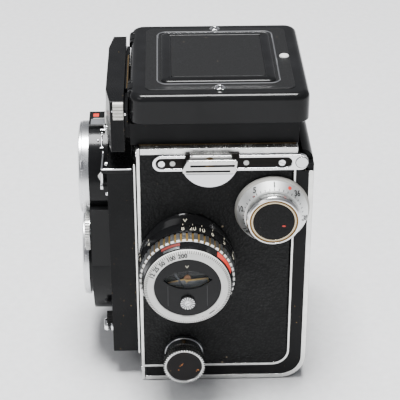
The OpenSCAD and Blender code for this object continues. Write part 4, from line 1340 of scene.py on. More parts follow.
@dataclass
class Standard:
    """Sliding front: box, lens housing, lenses, wheels, release and sockets."""

    bayonet_notches: int = 3
    wheel_teeth: int = 44

    def build(self) -> None:
        """Makes everything on the sliding front."""
        self.housings()
        self.rings()
        self.glasses()
        self.wheels()
        self.small_parts()

    def housings(self) -> None:
        """Box of the standard, its bright line standing in for the highlight on its top edge as a painted highlight,
        and the lens housing; the peep glass carries a painted reflection and highlight.
        """
        Shape().node("lens_standard", ENAMEL).piece(
            "standard_box", "standard", "black_paint", "lens_standard", edge=Edge(0.6, ENAMEL_EDGE, 3))
        Shape().node("lens_housing", GLOSS).piece(
            "lens_panel", "standard", "black_paint", "lens_housing", edge=Edge(0.5, GLOSS_EDGE, 3))
        low, high = span("lens_standard")
        flat = softened(rectangle((low.x - 0.03, low.y - 0.03), (high.x + 0.03, -40.45), 0.8), True, 4)
        # Chrome strip standing in for the highlight on the standard's bevelled top edge: a painted highlight.
        line = Shape().loft([[Vector((p.x, p.y, z)) for p in inset(flat, d)] for d, z in (
            (0.0, high.z - 0.35), (0.0, high.z + 0.2), (0.15, high.z + 0.3), (0.7, high.z + 0.3),
            (0.7, high.z - 0.35))], BRIGHT, closed=True)
        line.piece("standard_top_line", "standard", "satin_chrome")
        band = Shape().loft([[Vector((p.x, p.y, z)) for p in inset(flat, d)] for d, z in (
            (0.0, high.z - 2.1), (0.0, high.z - 0.36), (0.7, high.z - 0.36), (0.7, high.z - 2.1))], FLOCK, closed=True)
        band.piece("standard_top_band", "standard", "black_paint")
        Shape().node("peep_window", GLOSS).piece(
            "peep_housing", "standard", "black_paint", "peep_window", edge=Edge(0.25, GLOSS_EDGE, 3))
        top = span("peep_window")[1].z
        Shape().block((-4.6, -58.7, top - 0.15), (-1.4, -56.1, top + 0.04), INK_RED, round_off=0.08).piece(
            "peep_mark", "standard", "black_paint")
        # Opaque grey glass whose lighter tone is a painted reflection, with a thin white strip beside it as a painted
        # highlight.
        glass = Shape().block((0.9, -59.6, top - 0.3), (6.3, -53.2, top + 0.03), PEEP_GLASS, round_off=0.15)
        glass.block((0.2, -58.6, top - 0.2), (0.55, -53.2, top + 0.06), RIB_WHITE, round_off=0.05)
        glass.piece("peep_glass", "standard", "window")

    def rings(self) -> None:
        """Bayonet rings of both lenses, and the front of the shutter."""
        low, high = span("lens_bezels")
        radius = (high.x - low.x) / 2
        front = -low.y
        rings = Shape()
        for name, back in (("viewing", 60.5), ("taking", 62.4)):
            place = seat(Side.LENS, Vector((0, 0, self.axis_z(name))))
            bore = 17.0
            rings.lathe(place, [
                (bore, back), (radius, back), (radius, front - 1.6, 0.25), (radius - 0.35, front - 1.45),
                (radius - 0.35, front - 0.5), (radius - 1.2, front, 0.35), (bore + 1.3, front, 0.25),
                (bore, front - 0.9, 0.2)], RINGS[name], ring=True)
            lug = Shape().block((-1.5, -2.6, back + 0.25), (0.1, 2.6, back + 1.0), BRIGHT, round_off=0.15)
            Repeat(self.bayonet_notches, radius=bore - 0.05, start=90.0, step=120.0).add(rings, lug, place)
            lever = Shape().block((0, -2.2, front - 2.4), (0.9, 2.2, front - 1.1), BRIGHT, round_off=0.25)
            Repeat(3, radius=radius - 0.45, start=30.0, step=120.0).add(rings, lever, place)
        rings.piece("bayonet_rings", "standard", "bright_chrome", "lens_bezels")
        place = seat(Side.LENS, Vector((0, 0, self.axis_z("viewing"))))
        Shape().lathe(place, [(15.4, 60.5), (17.0, 60.5), (17.0, 62.6, 0.1), (15.9, 62.9, 0.2), (15.4, 62.2)],
                      GLOSS, ring=True).piece("viewing_lens_ring", "standard", "black_paint")
        place = seat(Side.LENS, Vector((0, 0, self.axis_z("taking"))))
        barrel = Shape().lathe(place, [
            (11.4, 44), (20, 44), (20, 62.3, 0.2), (16.7, 62.3), (15.9, 61.9, 0.1), (15.2, 61.9), (14.4, 61.2, 0.1),
            (13.6, 61.2), (12.8, 60.6, 0.1), (11.4, 60.2)], CASTING, ring=True)
        barrel.piece("shutter_barrel", "standard", "black_casting", "shutter_housing")
        grey = Shape().lathe(place, [(16.2, 62.2), (17.6, 62.2), (17.6, 62.55, 0.1), (16.2, 62.55, 0.1)],
                             GREY_ALLOY, ring=True)
        for angle in range(0, 360, 30):
            dot = place @ around(18.6, 0.0, angle)
            grey.lathe(dot, [(0, 62.2), (0.35, 62.2), (0.35, 62.36), (0, 62.4)], INK_WHITE, segments=12)
        grey.piece("shutter_front_ring", "standard", "satin_alloy")

    def axis_z(self, name: str) -> float:
        """Height of a lens axis."""
        low, high = span("lens_bezels")
        radius = (high.x - low.x) / 2
        return high.z - radius if name == "viewing" else low.z + radius

    def glasses(self) -> None:
        """Lens elements with their coated domes."""
        glass = Shape()
        for name, radius, front, back, rise in (("viewing", 15.25, 62.1, 57.5, 3.0),
                                                ("taking", 11.35, 60.2, 56.0, 2.3)):
            place = seat(Side.LENS, Vector((0, 0, self.axis_z(name))))
            dome = [(radius * k / 12.0, front - rise * (1 - math.sqrt(1 - (k / 12.0) ** 2 * 0.55)) / 0.33)
                    for k in range(12, -1, -1)]
            glass.lathe(place, [(0, back), (radius, back), *dome], COATED)
        for name, radius, front, back in (("viewing", 15.25, 54.5, 52.6), ("taking", 11.35, 46.4, 44.6)):
            place = seat(Side.LENS, Vector((0, 0, self.axis_z(name))))
            glass.lathe(place, [(0, back), (radius, back + 0.3), (radius, front - 0.3), (radius * 0.6, front - 0.08),
                                (0, front)], COATED)
        glass.piece("lens_elements", "standard", "optics", "lens_glasses")

    def wheels(self) -> None:
        """Speed and aperture wheels with knurled rims and slotted caps."""
        for node, body in (("speed_wheel", "speed_wheel"), ("aperture_wheel", "aperture_wheel")):
            low, high = span(node)
            radius = (high.x - low.x) / 2
            place = seat(Side.LENS, middle(node))
            front = -low.y
            wheel = Shape().lathe(place, [
                (0, front - 2.3), (radius - 0.45, front - 2.3), (radius - 0.45, front, 0.3), (6.3, front, 0.1),
                (6.0, front - 0.35), (4.0, front - 0.35), (3.6, front - 0.1, 0.1), (0, front + 0.02)], TURNED_FRONT)
            wheel.lathe(place, [(0, 57.6), (2.0, 57.6), (2.0, front - 2.2), (0, front - 2.2)], STEEL, segments=32)
            tooth = Shape().block((-0.5, -0.27, front - 2.2), (0.42, 0.27, front - 0.15), TOOTH_WHITE, round_off=0.12)
            Repeat(self.wheel_teeth, radius=radius - 0.42, step=360.0 / self.wheel_teeth).add(wheel, tooth, place)
            slotted_screw(wheel, place @ turn(35.0, "Z"), 2.0, 0.35, front)
            wheel.piece(node + "_knurled", body, "bright_chrome", node)

    def small_parts(self) -> None:
        """Sync socket, release, timer lever, and the guard and pins on the housing."""
        place = seat(Side.LENS, middle("sync_socket"))
        front = -span("sync_socket")[0].y
        Shape().lathe(place, [
            (1.75, 51.7), (3.3, 51.7), (3.3, 52.6, 0.2), (2.7, 53.0), (2.9, 53.6, 0.2), (3.2, 54.6, 0.4),
            (2.6, front, 0.4), (1.75, front)], BRIGHT, ring=True, segments=64).lathe(
            place, [(0, 51.7), (0.6, 51.7), (0.6, front - 0.8, 0.2), (0, front - 0.6)], RAW_BRASS, segments=24).piece(
            "sync_connector", "standard", "bright_chrome", "sync_socket")
        place = seat(Side.LENS, middle("shutter_release"))
        front = -span("shutter_release")[0].y
        Shape().lathe(place, [
            (0, 49.5), (2.2, 49.5), (2.2, 55.1), (3.4, 55.1, 0.2), (3.4, front - 0.6, 0.5), (2.6, front, 0.4),
            (1.3, front - 0.5, 0.3), (0, front - 0.6)], BRIGHT, segments=64).piece(
            "release_plunger", "release_button", "bright_chrome", "shutter_release")
        place = seat(Side.LENS, Vector((29.0, 0, 100.0)))
        arm = Shape().lathe(place, [(0, 53.8), (2.2, 53.8), (2.2, 54.9, 0.3), (0, 55.1)], BRIGHT, segments=48)
        arm.prism(place, [(-1.7, -0.4), (1.7, -0.4), (0.7, 7.2, 0.5), (-1.6, 7.2, 0.5)], 53.8, 54.6, BRIGHT, top=0.2)
        tab = [(-53.9, 107.0, 0.4), (-56.1, 103.7, 0.6), (-53.9, 99.5, 0.4)]
        arm.prism(seat(Side.KNOB, Vector((0, 0, 0))), tab, 27.2, 28.1, TOOTH_WHITE, top=0.2, bottom=0.2)
        arm.piece("timer_arm", "timer_lever", "bright_chrome", "timer_lever")
        fittings = Shape()
        barrel = seat(Side.LENS, Vector((0, 0, self.axis_z("viewing"))))
        reach = 24.6
        for angle in range(50, 67, 2):
            fittings.lathe(barrel @ around(reach + 0.25, 54.4, angle, 90.0), [
                (0, -0.35), (0.42, -0.35), (0.42, 0.2, 0.2), (0, 0.35)], BRIGHT, segments=14)
        fittings.block((-0.9, -0.4, -0.2), (0.9, 0.4, 0.6), BRIGHT, barrel @ around(reach, 54.4, 48.0, 90.0, 90.0),
                       round_off=0.15)
        fittings.lathe(barrel @ around(reach, 56.1, 57.0, 90.0), [
            (0, -0.4), (0.5, -0.4), (0.5, 0.5, 0.2), (0, 0.7)], BRIGHT, segments=20)
        fittings.block((-1.4, -0.5, -0.2), (1.4, 0.5, 0.9), BRIGHT, barrel @ around(reach, 53.9, 70.0, 90.0, 90.0),
                       round_off=0.2)
        for z in (97.0, 112.0):
            fittings.lathe(seat(Side.LENS, Vector((31.5, 0, z))), [
                (0, 51.5), (0.9, 51.5), (0.9, 52.6, 0.3), (0, 52.9)], BRIGHT, segments=20)
        socket = seat(Side.LENS, Vector((27.5, 0, 27.6)))
        knurl = Shape().lathe(Matrix.Identity(4), [(0, 51.6), (0.3, 51.6), (0.3, 54.6), (0, 54.6)], FLOCK, segments=8)
        dark = Shape().lathe(socket, [(0, 51.6), (2.6, 51.6), (2.6, 54.6, 0.3), (0, 54.8)], FLOCK, segments=40)
        Repeat(16, radius=2.7, step=22.5).add(dark, knurl, socket)
        dark.piece("sync_latch", "standard", "black_paint")
        fittings.piece("housing_pins", "standard", "bright_chrome")


@dataclass
class FocusKnob:
    """Focusing knob: index ring, skirt, ribbed grip, meter dial, centre plate and window."""

    ribs: int = 50
    rib_depth: float = 0.62
    dial_teeth: int = 120

    def build(self) -> None:
        """Makes the knob from the side of the body outwards."""
        low, high = span("focus_knob")
        self.place = seat(Side.KNOB, middle("focus_knob"))
        self.skirt_radius = (high.z - low.z) / 2
        self.skirt_x = (low.x, high.x)
        self.grip_x = (span("focus_grip")[0].x, span("focus_grip")[1].x)
        self.grip_radius = (span("focus_grip")[1].z - span("focus_grip")[0].z) / 2
        self.face = span("meter_dial_ring")[1].x
        self.dial_radius = (span("meter_dial_ring")[1].z - span("meter_dial_ring")[0].z) / 2
        self.index_ring()
        self.skirt()
        self.grip()
        self.cone_and_plate()
        self.dial()
        self.window()

    def index_ring(self) -> None:
        """Black oval collar on the body, round at its outer edge, with the index on its slope."""
        sections = ((39.95, 21.3, 24.8), (41.0, 21.8, 24.2), (41.6, 21.9, 23.4), (43.0, 21.9, 21.9), (43.4, 21.5, 21.5),
                    (43.4, 13.0, 13.0), (39.95, 13.0, 13.0))
        loops = [[Vector((across * math.cos(a), up * math.sin(a), height))
                  for a in (2 * math.pi * k / 128 for k in range(128))] for height, across, up in sections]
        Shape().loft(loops, GLOSS, self.place, closed=True).piece("focus_index_ring", "camera_body", "gloss_black")
        mark = Shape()
        for sign in (-1, 1):
            spot = self.place @ around(22.75, 42.25, 91.6, 43.0) @ turn(sign * -32.0, "Z")
            mark.block((-0.17, -0.75, -0.1), (0.17, 0.75, 0.12), INK_WHITE,
                       spot @ Matrix.Translation((sign * 0.42, 0.0, 0.0)))
        mark.piece("focus_index_mark", "camera_body", "gloss_black")

    def skirt(self) -> None:
        """Black skirt with its cream distance marks."""
        start, end = self.skirt_x
        top, tip = self.skirt_radius, self.skirt_radius - 0.3
        Shape().lathe(self.place, [
            (12.05, start), (top, start, 0.3), (tip, end, 0.2), (12.05, end)], GLOSS, ring=True).piece(
            "focus_skirt", "focus_ring", "black_paint", "focus_knob")
        marks = Shape()
        for words, angle in (("8", 94.6), ("20", 83.0), ("10", 72.0), ("6", 58.0), ("5", 40.0), ("4", 141.0),
                             ("3", 164.0), ("2", -160.0), ("15", 18.0)):
            marks.text(words, 5.2, INK_WHITE, self.place @ around(top - 0.2, start + 3.7, angle, 90.0), 0.10,
                       bold=-0.06, narrow=0.6)
            tick = self.place @ around(top - 0.02, start + 0.75, angle, 90.0)
            marks.block((-0.12, -0.5, -0.05), (0.12, 0.5, 0.06), INK_WHITE, tick)
        marks.piece("distance_marks", "focus_ring", "black_paint")

    def grip(self) -> None:
        """Ribbed grip: brass in its grooves and a bright chamfer on every rib."""
        start, end = self.grip_x
        floor = self.grip_radius - self.rib_depth
        ring = Shape().lathe(self.place, [
            (12.05, start), (floor, start), (floor, end - 0.9), (20.1, end - 0.1), (12.05, end - 0.1)],
            GROOVE, ring=True)
        chamfer = 0.75
        rib = Shape().prism(Matrix(((1, 0, 0, 0), (0, 0, -1, 0), (0, 1, 0, 0), (0, 0, 0, 1))), [
            (-0.4, start + 0.15), (self.rib_depth - 0.2, start + 0.15), (self.rib_depth, start + 0.4),
            (self.rib_depth, end - chamfer), (-0.4, end - chamfer)], -0.84, 0.84, GREY_ALLOY, top=0.12, bottom=0.12,
            steps=1)
        Repeat(self.ribs, radius=floor, step=360.0 / self.ribs).add(ring, rib, self.place)
        tooth = Shape().prism(Matrix(((1, 0, 0, 0), (0, 0, -1, 0), (0, 1, 0, 0), (0, 0, 0, 1))), [
            (-0.5, end - chamfer), (self.rib_depth, end - chamfer), (20.3 - floor, end - 0.02),
            (19.6 - floor, end - 0.02)], -0.8, 0.8, TOOTH_WHITE, top=0.12, bottom=0.12, steps=1)
        Repeat(self.ribs, radius=floor, step=360.0 / self.ribs).add(ring, tooth, self.place)
        inner = self.dial_radius + 0.15
        ring.lathe(self.place, [
            (inner - 1.4, end - 0.9), (20.25, end - 0.9), (20.25, end, 0.15), (inner + 0.1, end, 0.2),
            (inner - 1.4, end - 0.7)], RING_GREY, ring=True)
        ring.piece("focus_ribs", "focus_ring", "satin_alloy", "focus_grip")

    def cone_and_plate(self) -> None:
        """Fixed hub: black cone with its coloured arcs, and the glossy centre plate."""
        cone0, cone1 = 56.5, 60.6
        foot = span("meter_housing")[0].x
        plate = self.face - 0.4
        outer = 14.7
        hub = Shape().lathe(self.place, [
            (0, foot), (4.0, foot), (4.0, 38.9), (12.0, 38.9), (12.0, cone0), (20.2, cone0), (20.2, cone0 + 0.1),
            (self.dial_radius + 0.3, cone1, 0.1), (outer, cone1), (outer, plate, 0.25), (0, plate)], GLOSS)
        cutter = Shape().lathe(self.place, [
            (0, 57.6), (11.4, 57.6), (11.4, plate - 1.1), (0, plate - 1.1)], FLOCK)
        hub.minus(cutter)
        cutter = Shape().prism(self.place @ Matrix.Translation((0, 4.0, 0)), self.eye(0.0), plate - 3.0,
                               plate + 1.0, FLOCK)
        hub.minus(cutter)
        cutter = Shape().lathe(self.place @ Matrix.Translation((0, -6.9, 0)), [
            (0, plate - 2.0), (1.05, plate - 2.0), (1.05, plate + 1.0), (0, plate + 1.0)], FLOCK, segments=32)
        hub.minus(cutter)
        hub.piece("meter_hub", "camera_body", "gloss_black", "meter_housing", edge=Edge(0.15, None, 2))
        arcs = Shape()
        for first, last, finish, low_share, high_share in ((17.0, 49.0, INK_RED, 0.10, 0.85),
                                                           (99.0, 124.0, INK_DARK_RED, 0.1, 0.5)):
            self.band(arcs, first, last, cone0, cone1, low_share, high_share, finish)
        self.band(arcs, 100.0, 122.0, cone0, cone1, 0.6, 0.95, GREY_ALLOY)
        arcs.piece("meter_arcs", "camera_body", "gloss_black")
        chevron = Shape()
        for sign in (-1, 1):
            spot = self.place @ Matrix.Translation((-0.2, 11.1, plate)) @ turn(sign * -32.0, "Z")
            chevron.block((-0.15, -0.68, -0.05), (0.15, 0.68, 0.07), INK_WHITE,
                          spot @ Matrix.Translation((sign * 0.36, 0.0, 0.0)))
        chevron.piece("meter_index", "camera_body", "gloss_black")
        lines = Shape()
        for x in (-8.6, 8.6):
            lines.block((x - 0.05, -9.5, plate - 0.02), (x + 0.05, 1.0, plate + 0.03), PLATE_LINE, self.place)
        lines.piece("meter_plate_lines", "camera_body", "gloss_black")

    def band(self, shape: Shape, first: float, last: float, cone0: float, cone1: float, low_share: float,
             high_share: float, finish: Finish) -> None:
        """Adds a coloured arc that lies on the cone."""
        steps = 16
        wide, narrow = 20.2, self.dial_radius + 0.3
        loops = []
        for k in range(steps + 1):
            angle = math.radians(first + (last - first) * k / steps)
            section = []
            for share, lift in ((low_share, -0.05), (high_share, -0.05), (high_share, 0.07), (low_share, 0.07)):
                radius = wide + (narrow - wide) * share + lift
                section.append(Vector((radius * math.cos(angle), radius * math.sin(angle),
                                       cone0 + (cone1 - cone0) * share + lift)))
            loops.append(section)
        shape.loft(loops, finish, self.place)

    def eye(self, shrink: float) -> Outline:
        """Outline of the window, where two circles cross."""
        radius, rise = 14.45 - shrink, 9.6
        half = math.acos(rise / radius)
        points = []
        for centre, base in ((-rise, math.pi / 2), (rise, -math.pi / 2)):
            for k in range(25):
                angle = base - half + 2 * half * k / 24
                if k == 24:
                    continue
                points.append((radius * math.cos(angle), centre + radius * math.sin(angle)))
        return points

    def dial(self) -> None:
        """Dial ring with its fine teeth, worn film speeds and a dark radial mark."""
        low, high = span("meter_dial_ring")
        radius = self.dial_radius
        face = high.x
        ring = Shape().lathe(self.place, [
            (14.75, low.x), (radius - 0.2, low.x), (radius - 0.2, face - 0.9), (radius - 1.2, face - 0.25, 0.15),
            (15.2, face, 0.15), (14.75, face - 0.3)], DIAL_WHITE, ring=True)
        ring.piece("meter_dial_plate", "dial_ring", "bright_chrome", "meter_dial_ring")
        teeth = Shape()
        tooth = Shape().block((-1.15, -0.16, -0.06), (0.12, 0.16, 0.09), INK_GREY, turn(31.0, "Y"))
        Repeat(self.dial_teeth, radius=radius - 0.45, step=360.0 / self.dial_teeth).add(
            teeth, tooth, self.place @ Matrix.Translation((0, 0, face - 0.68)))
        for words, angle in (("12", 157.0), ("25", 144.0), ("50", 131.0), ("100", 115.0), ("200", 97.0)):
            teeth.text(words, 2.7, INK_BLACK, self.place @ around(16.6, face - 0.1, angle, 5.0), 0.08, bold=0.09)
        teeth.block((-1.6, -0.22, -0.1), (1.5, 0.22, 0.06), INK_BLACK,
                    self.place @ around(16.6, face - 0.1, -50.0, 5.0))
        for angle, size in ((-66.0, 0.3), (-74.0, 0.25), (-40.0, 0.35), (-34.0, 0.25)):
            teeth.block((-size, -0.1, -0.1), (size, 0.1, 0.05), INK_GREY,
                        self.place @ around(16.4, face - 0.1, angle, 5.0))
        teeth.piece("meter_dial_marks", "dial_ring", "bright_chrome")

    def window(self) -> None:
        """Glass, the grey scale behind it with its brass edge, the orange arc with its painted glow, and the needle."""
        place = self.place @ Matrix.Translation((0, 4.0, 0))
        low, high = span("meter_window")
        Shape().prism(place, self.eye(0.05), low.x, high.x, CLEAR).piece(
            "window_glass", "camera_body", "window", "meter_window")
        floor = 57.6
        lens = [(-9.2, -3.2), (-1.2, -1.2), (-0.3, -2.2), (0.6, -1.7), (9.0, -0.8), (9.5, -2.8), (5.5, -5.0),
                (0.0, -6.0), (-5.5, -5.0)]
        scale = Shape().prism(place, lens, floor + 1.2, floor + 1.5, RAW_BRASS, top=0.05, steps=1)
        pane = [(-8.4, -3.5), (-1.4, -1.85), (-0.5, -2.9), (0.9, -2.4), (8.5, -1.45), (8.9, -2.8), (5.4, -4.8),
                (0.0, -5.8), (-5.4, -4.8)]
        scale.prism(place, pane, floor + 1.45, floor + 1.62, PANE_GREY, top=0.05, steps=1)
        scale.block((-0.5, -3.2, floor + 1.5), (-0.1, -1.3, floor + 1.8), RAW_BRASS, place)
        scale.piece("meter_scale", "camera_body", "gloss_black")
        # Orange arc behind the window, given a painted glow by its ink's emission.
        glow = Shape().lathe(place @ Matrix.Translation((0, -1.4, 0)), [
            (0.3, floor + 0.2), (1.5, floor + 0.2), (1.5, floor + 0.8), (0.3, floor + 0.8)], INK_ORANGE, ring=True,
            segments=64)
        glow.piece("meter_arc", "camera_body", "needle")
        dress("meter_needle", BLUED)
        wheel_low, wheel_high = span("film_speed_wheel")
        radius = (wheel_high.z - wheel_low.z) / 2
        spot = seat(Side.KNOB, middle("film_speed_wheel"))
        top = wheel_high.x
        wheel = Shape().lathe(spot, [
            (0, wheel_low.x), (1.0, wheel_low.x), (1.0, top - 1.6), (radius - 0.2, top - 1.6),
            (radius - 0.2, top - 1.3), (radius - 0.6, top - 0.4), (0, top - 0.4)], FLOCK, segments=72)
        wheel.lathe(spot, [(0, top - 0.6), (1.3, top - 0.6), (1.3, top - 0.1, 0.1), (0, top - 0.02)], BRIGHT,
                    segments=48)
        wheel.block((-0.9, -0.16, top - 0.1), (0.9, 0.16, top - 0.01), FLOCK, spot @ turn(25.0, "Z"))
        flute = Shape().prism(Matrix.Identity(4), [(-2.3, -0.10), (0.30, -0.30), (0.30, 0.30), (-2.3, 0.10)],
                              top - 1.55, top - 0.02, BRIGHT, top=0.14, steps=2)
        Repeat(16, radius=radius - 0.3, step=22.5).add(wheel, flute, spot)
        wheel.piece("film_speed_knob", "film_speed_wheel", "bright_chrome", "film_speed_wheel")
        # Matt black disc on the plate standing for a hole: painted shade.
        hole = Shape().lathe(self.place @ Matrix.Translation((-0.3, -10.1, 0)), [
            (0, self.face - 0.5), (0.8, self.face - 0.5), (0.8, self.face - 0.36), (0.55, self.face - 0.36),
            (0.45, self.face - 0.42), (0, self.face - 0.42)], FLOCK, segments=32)
        hole.piece("meter_plate_hole", "camera_body", "gloss_black")


@dataclass
class SpoolKnobs:
    """Film counter dial with the upper spool knob, and the lower spool knob."""

    counter_step: float = 9.0
    counter_first: float = 88.7
    lower_teeth: int = 46

    def build(self) -> None:
        """Makes the dial and the knobs."""
        self.counter()
        self.upper_knob()
        self.lower_knob()

    def counter(self) -> None:
        """Counter dial: grey rim, satin cone, numbers, ticks and a red dot."""
        low, high = span("counter_dial")
        self.place = seat(Side.KNOB, middle("counter_dial"))
        radius = (high.z - low.z) / 2
        shoulder = 42.9
        Shape().lathe(self.place, [
            (5.2, low.x), (radius - 0.1, low.x), (15.65, shoulder, 0.1), (12.6, high.x, 0.1), (5.2, high.x)],
            DIAL_SATIN, ring=True, segments=192).lathe(
            self.place, [(radius - 0.7, low.x + 0.02), (radius, low.x + 0.02, 0.1), (15.75, shoulder - 0.12),
                         (15.1, shoulder - 0.12)], RIM_GREY, ring=True, segments=192).piece(
            "counter_plate", "counter_dial", "satin_chrome", "counter_dial")
        wide, narrow = 15.65, 12.6
        slope = math.degrees(math.atan2(high.x - shoulder, wide - narrow))
        marks, reds = Shape(), Shape()

        def on_cone(distance: float, lift: float = 0.0) -> float:
            """Height of the cone at a distance from its axis."""
            return shoulder + (high.x - shoulder) * (wide - distance) / (wide - narrow) + lift

        tick = Shape().block((-0.5, -0.15, -0.06), (0.5, 0.15, 0.07), INK_BLACK, turn(slope, "Y"))
        Repeat(40, radius=13.0, start=self.counter_first, step=self.counter_step, jitter=0.12).add(
            marks, tick, self.place @ Matrix.Translation((0, 0, on_cone(13.0))))
        for number in (1, 5, 10, 15, 20, 25, 30, 36):
            angle = self.counter_first + (number - 1) * self.counter_step
            upright = 0.8 * (90.0 - (angle + 180.0) % 360.0 + 180.0)
            place = self.place @ around(14.4, on_cone(14.4), angle, slope, upright)
            marks.text(str(number), 3.6, INK_BLACK, place, 0.1, bold=0.12, narrow=0.9)
        marks.piece("counter_marks", "counter_dial", "satin_chrome")
        reds.lathe(self.place @ around(14.5, on_cone(14.5), 60.8, slope), [
            (0, -0.1), (0.82, -0.1), (0.82, 0.08), (0, 0.12)], INK_RED, segments=24)
        reds.lathe(self.place @ around(12.9, on_cone(12.9), 131.0, slope), [
            (0, -0.1), (0.4, -0.1), (0.4, 0.08), (0, 0.1)], INK_DARK_RED, segments=16)
        reds.piece("counter_dots", "counter_dial", "satin_chrome")

    def upper_knob(self) -> None:
        """Bright ring with a brown line, a gold line and a leather disc."""
        low, high = span("upper_spool_knob")
        radius = (high.z - low.z) / 2
        top = high.x
        knob = Shape().lathe(self.place, [
            (2.45, 46.9), (radius - 0.5, 46.9, 0.3), (radius, 48.2, 0.4), (radius, top - 1.0, 0.6),
            (radius - 0.9, top, 0.35), (10.6, top - 0.05, 0.1), (10.45, top - 0.6), (2.45, top - 0.7)],
            TURNED_KNOB, ring=True, segments=160)
        self.key(knob, self.place, low.x, top - 0.7)
        knob.lathe(self.place, [(9.8, top - 0.7), (10.5, top - 0.7), (10.5, top - 0.25, 0.1), (9.8, top - 0.25, 0.1)],
                   BROWN_RING, ring=True)
        knob.lathe(self.place, [(9.1, top - 0.7), (9.85, top - 0.7), (9.85, top - 0.12, 0.12), (9.1, top - 0.2, 0.1)],
                   GOLD_RING, ring=True)
        knob.piece("upper_knob_ring", "upper_knob", "bright_chrome", "upper_spool_knob")
        Shape().lathe(self.place, [(0, top - 0.8), (9.15, top - 0.8), (9.15, top - 0.22, 0.12), (0, top - 0.18)],
                      DISC_LEATHER).piece("upper_knob_leather", "upper_knob", "leather")
        dot = Shape().lathe(self.place @ Matrix.Translation((4.4, -2.2, 0)) @ Matrix.Diagonal((1.5, 0.75, 1.0, 1.0)), [
            (0, top - 0.5), (0.55, top - 0.5), (0.5, top - 0.12), (0, top - 0.08)], INK_RED, segments=20)
        dot.piece("upper_knob_speck", "upper_knob", "leather")

    def key(self, shape: Shape, place: Matrix, start: float, end: float) -> None:
        """Adds the shaft and the key blade that turns the spool."""
        shape.lathe(place, [(0, 33.0), (2.4, 33.0), (2.4, end), (0, end)], STEEL, segments=48)
        shape.block((-0.7, -2.4, start), (0.7, 2.4, 33.5), STEEL, place, round_off=0.15)

    def lower_knob(self) -> None:
        """Toothed knob over its fixed grey collar, with a dark sunk disc."""
        low, high = span("lower_spool_knob")
        place = seat(Side.KNOB, middle("lower_spool_knob"))
        radius = (high.z - low.z) / 2
        top = high.x
        knob = Shape().lathe(place, [
            (0, 42.8), (7.3, 42.8), (7.3, 46.4), (radius - 0.75, 46.4, 0.15), (radius - 0.75, top - 0.25, 0.15),
            (8.4, top, 0.12), (8.1, top - 0.45), (0, top - 0.5)], BRIGHT_WORN)
        self.key(knob, place, low.x, 42.9)
        tooth = Shape().prism(Matrix.Identity(4), [(-0.3, -0.56), (0.72, -0.12), (0.72, 0.12), (-0.3, 0.56)],
                              46.45, top - 0.1, BRIGHT_WORN, top=0.14, bottom=0.1, steps=2)
        Repeat(self.lower_teeth, radius=radius - 0.75, step=360.0 / self.lower_teeth, start=3.0).add(
            knob, tooth, place)
        knob.piece("lower_knob_toothed", "lower_knob", "bright_chrome", "lower_spool_knob")
        disc = Shape().lathe(place, [(0, top - 0.7), (8.1, top - 0.7), (8.1, top - 0.42, 0.1), (0, top - 0.36)],
                             KNOB_DISC)
        disc.piece("lower_knob_disc", "lower_knob", "gloss_black")
        rust = Shape()
        for x, y, size in ((-1.1, 1.0, 0.75), (-1.9, 0.3, 0.4), (-2.6, -1.9, 0.5), (6.3, -2.0, 0.8), (5.6, -2.7, 0.45),
                           (-0.6, 1.7, 0.35)):
            rust.lathe(place @ Matrix.Translation((x, y, 0)) @ turn(40.0 * x, "Z") @ Matrix.Diagonal(
                (1.0, 1.7, 1.0, 1.0)), [(0, top - 0.6), (size * 0.55, top - 0.6), (size * 0.4, top - 0.33),
                                        (0, top - 0.31)], RUST, segments=14)
        rust.piece("lower_knob_rust", "lower_knob", "gloss_black")
        self.collars(place)

    def collars(self, lower: Matrix) -> None:
        """Fixed collars under both knobs and the crank."""
        crank = seat(Side.CRANK, middle("crank_hub"))
        collars = Shape().lathe(lower, [
            (7.6, 40.05), (9.0, 40.05), (9.0, 41.7, 0.2), (8.6, 42.1, 0.2), (8.2, 45.2, 0.3), (7.6, 45.2)],
            RING_GREY, ring=True)
        collars.lathe(lower, [(4.05, 38.9), (7.8, 38.9), (7.8, 42.1), (4.05, 42.1)], RING_GREY, ring=True)
        for height in (43.1, 44.1):
            for sign in (-1, 1):
                spot = lower @ around(8.45, height, 90.0, 82.0) @ turn(sign * -40.0, "Z")
                collars.block((-0.14, -0.55, -0.1), (0.14, 0.55, 0.1), RAW_BRASS,
                              spot @ Matrix.Translation((sign * 0.38, 0.0, 0.0)))
        collars.lathe(self.place, [(4.05, 38.9), (8.5, 38.9), (8.5, 40.0), (4.05, 40.0)], RING_GREY, ring=True)
        collars.lathe(crank, [(4.05, 38.9), (11.0, 38.9), (11.0, 41.0, 0.25), (10.2, 41.6, 0.3), (4.05, 41.6)],
                      RING_GREY, ring=True)
        collars.piece("side_collars", "camera_body", "satin_alloy", "side_bosses")


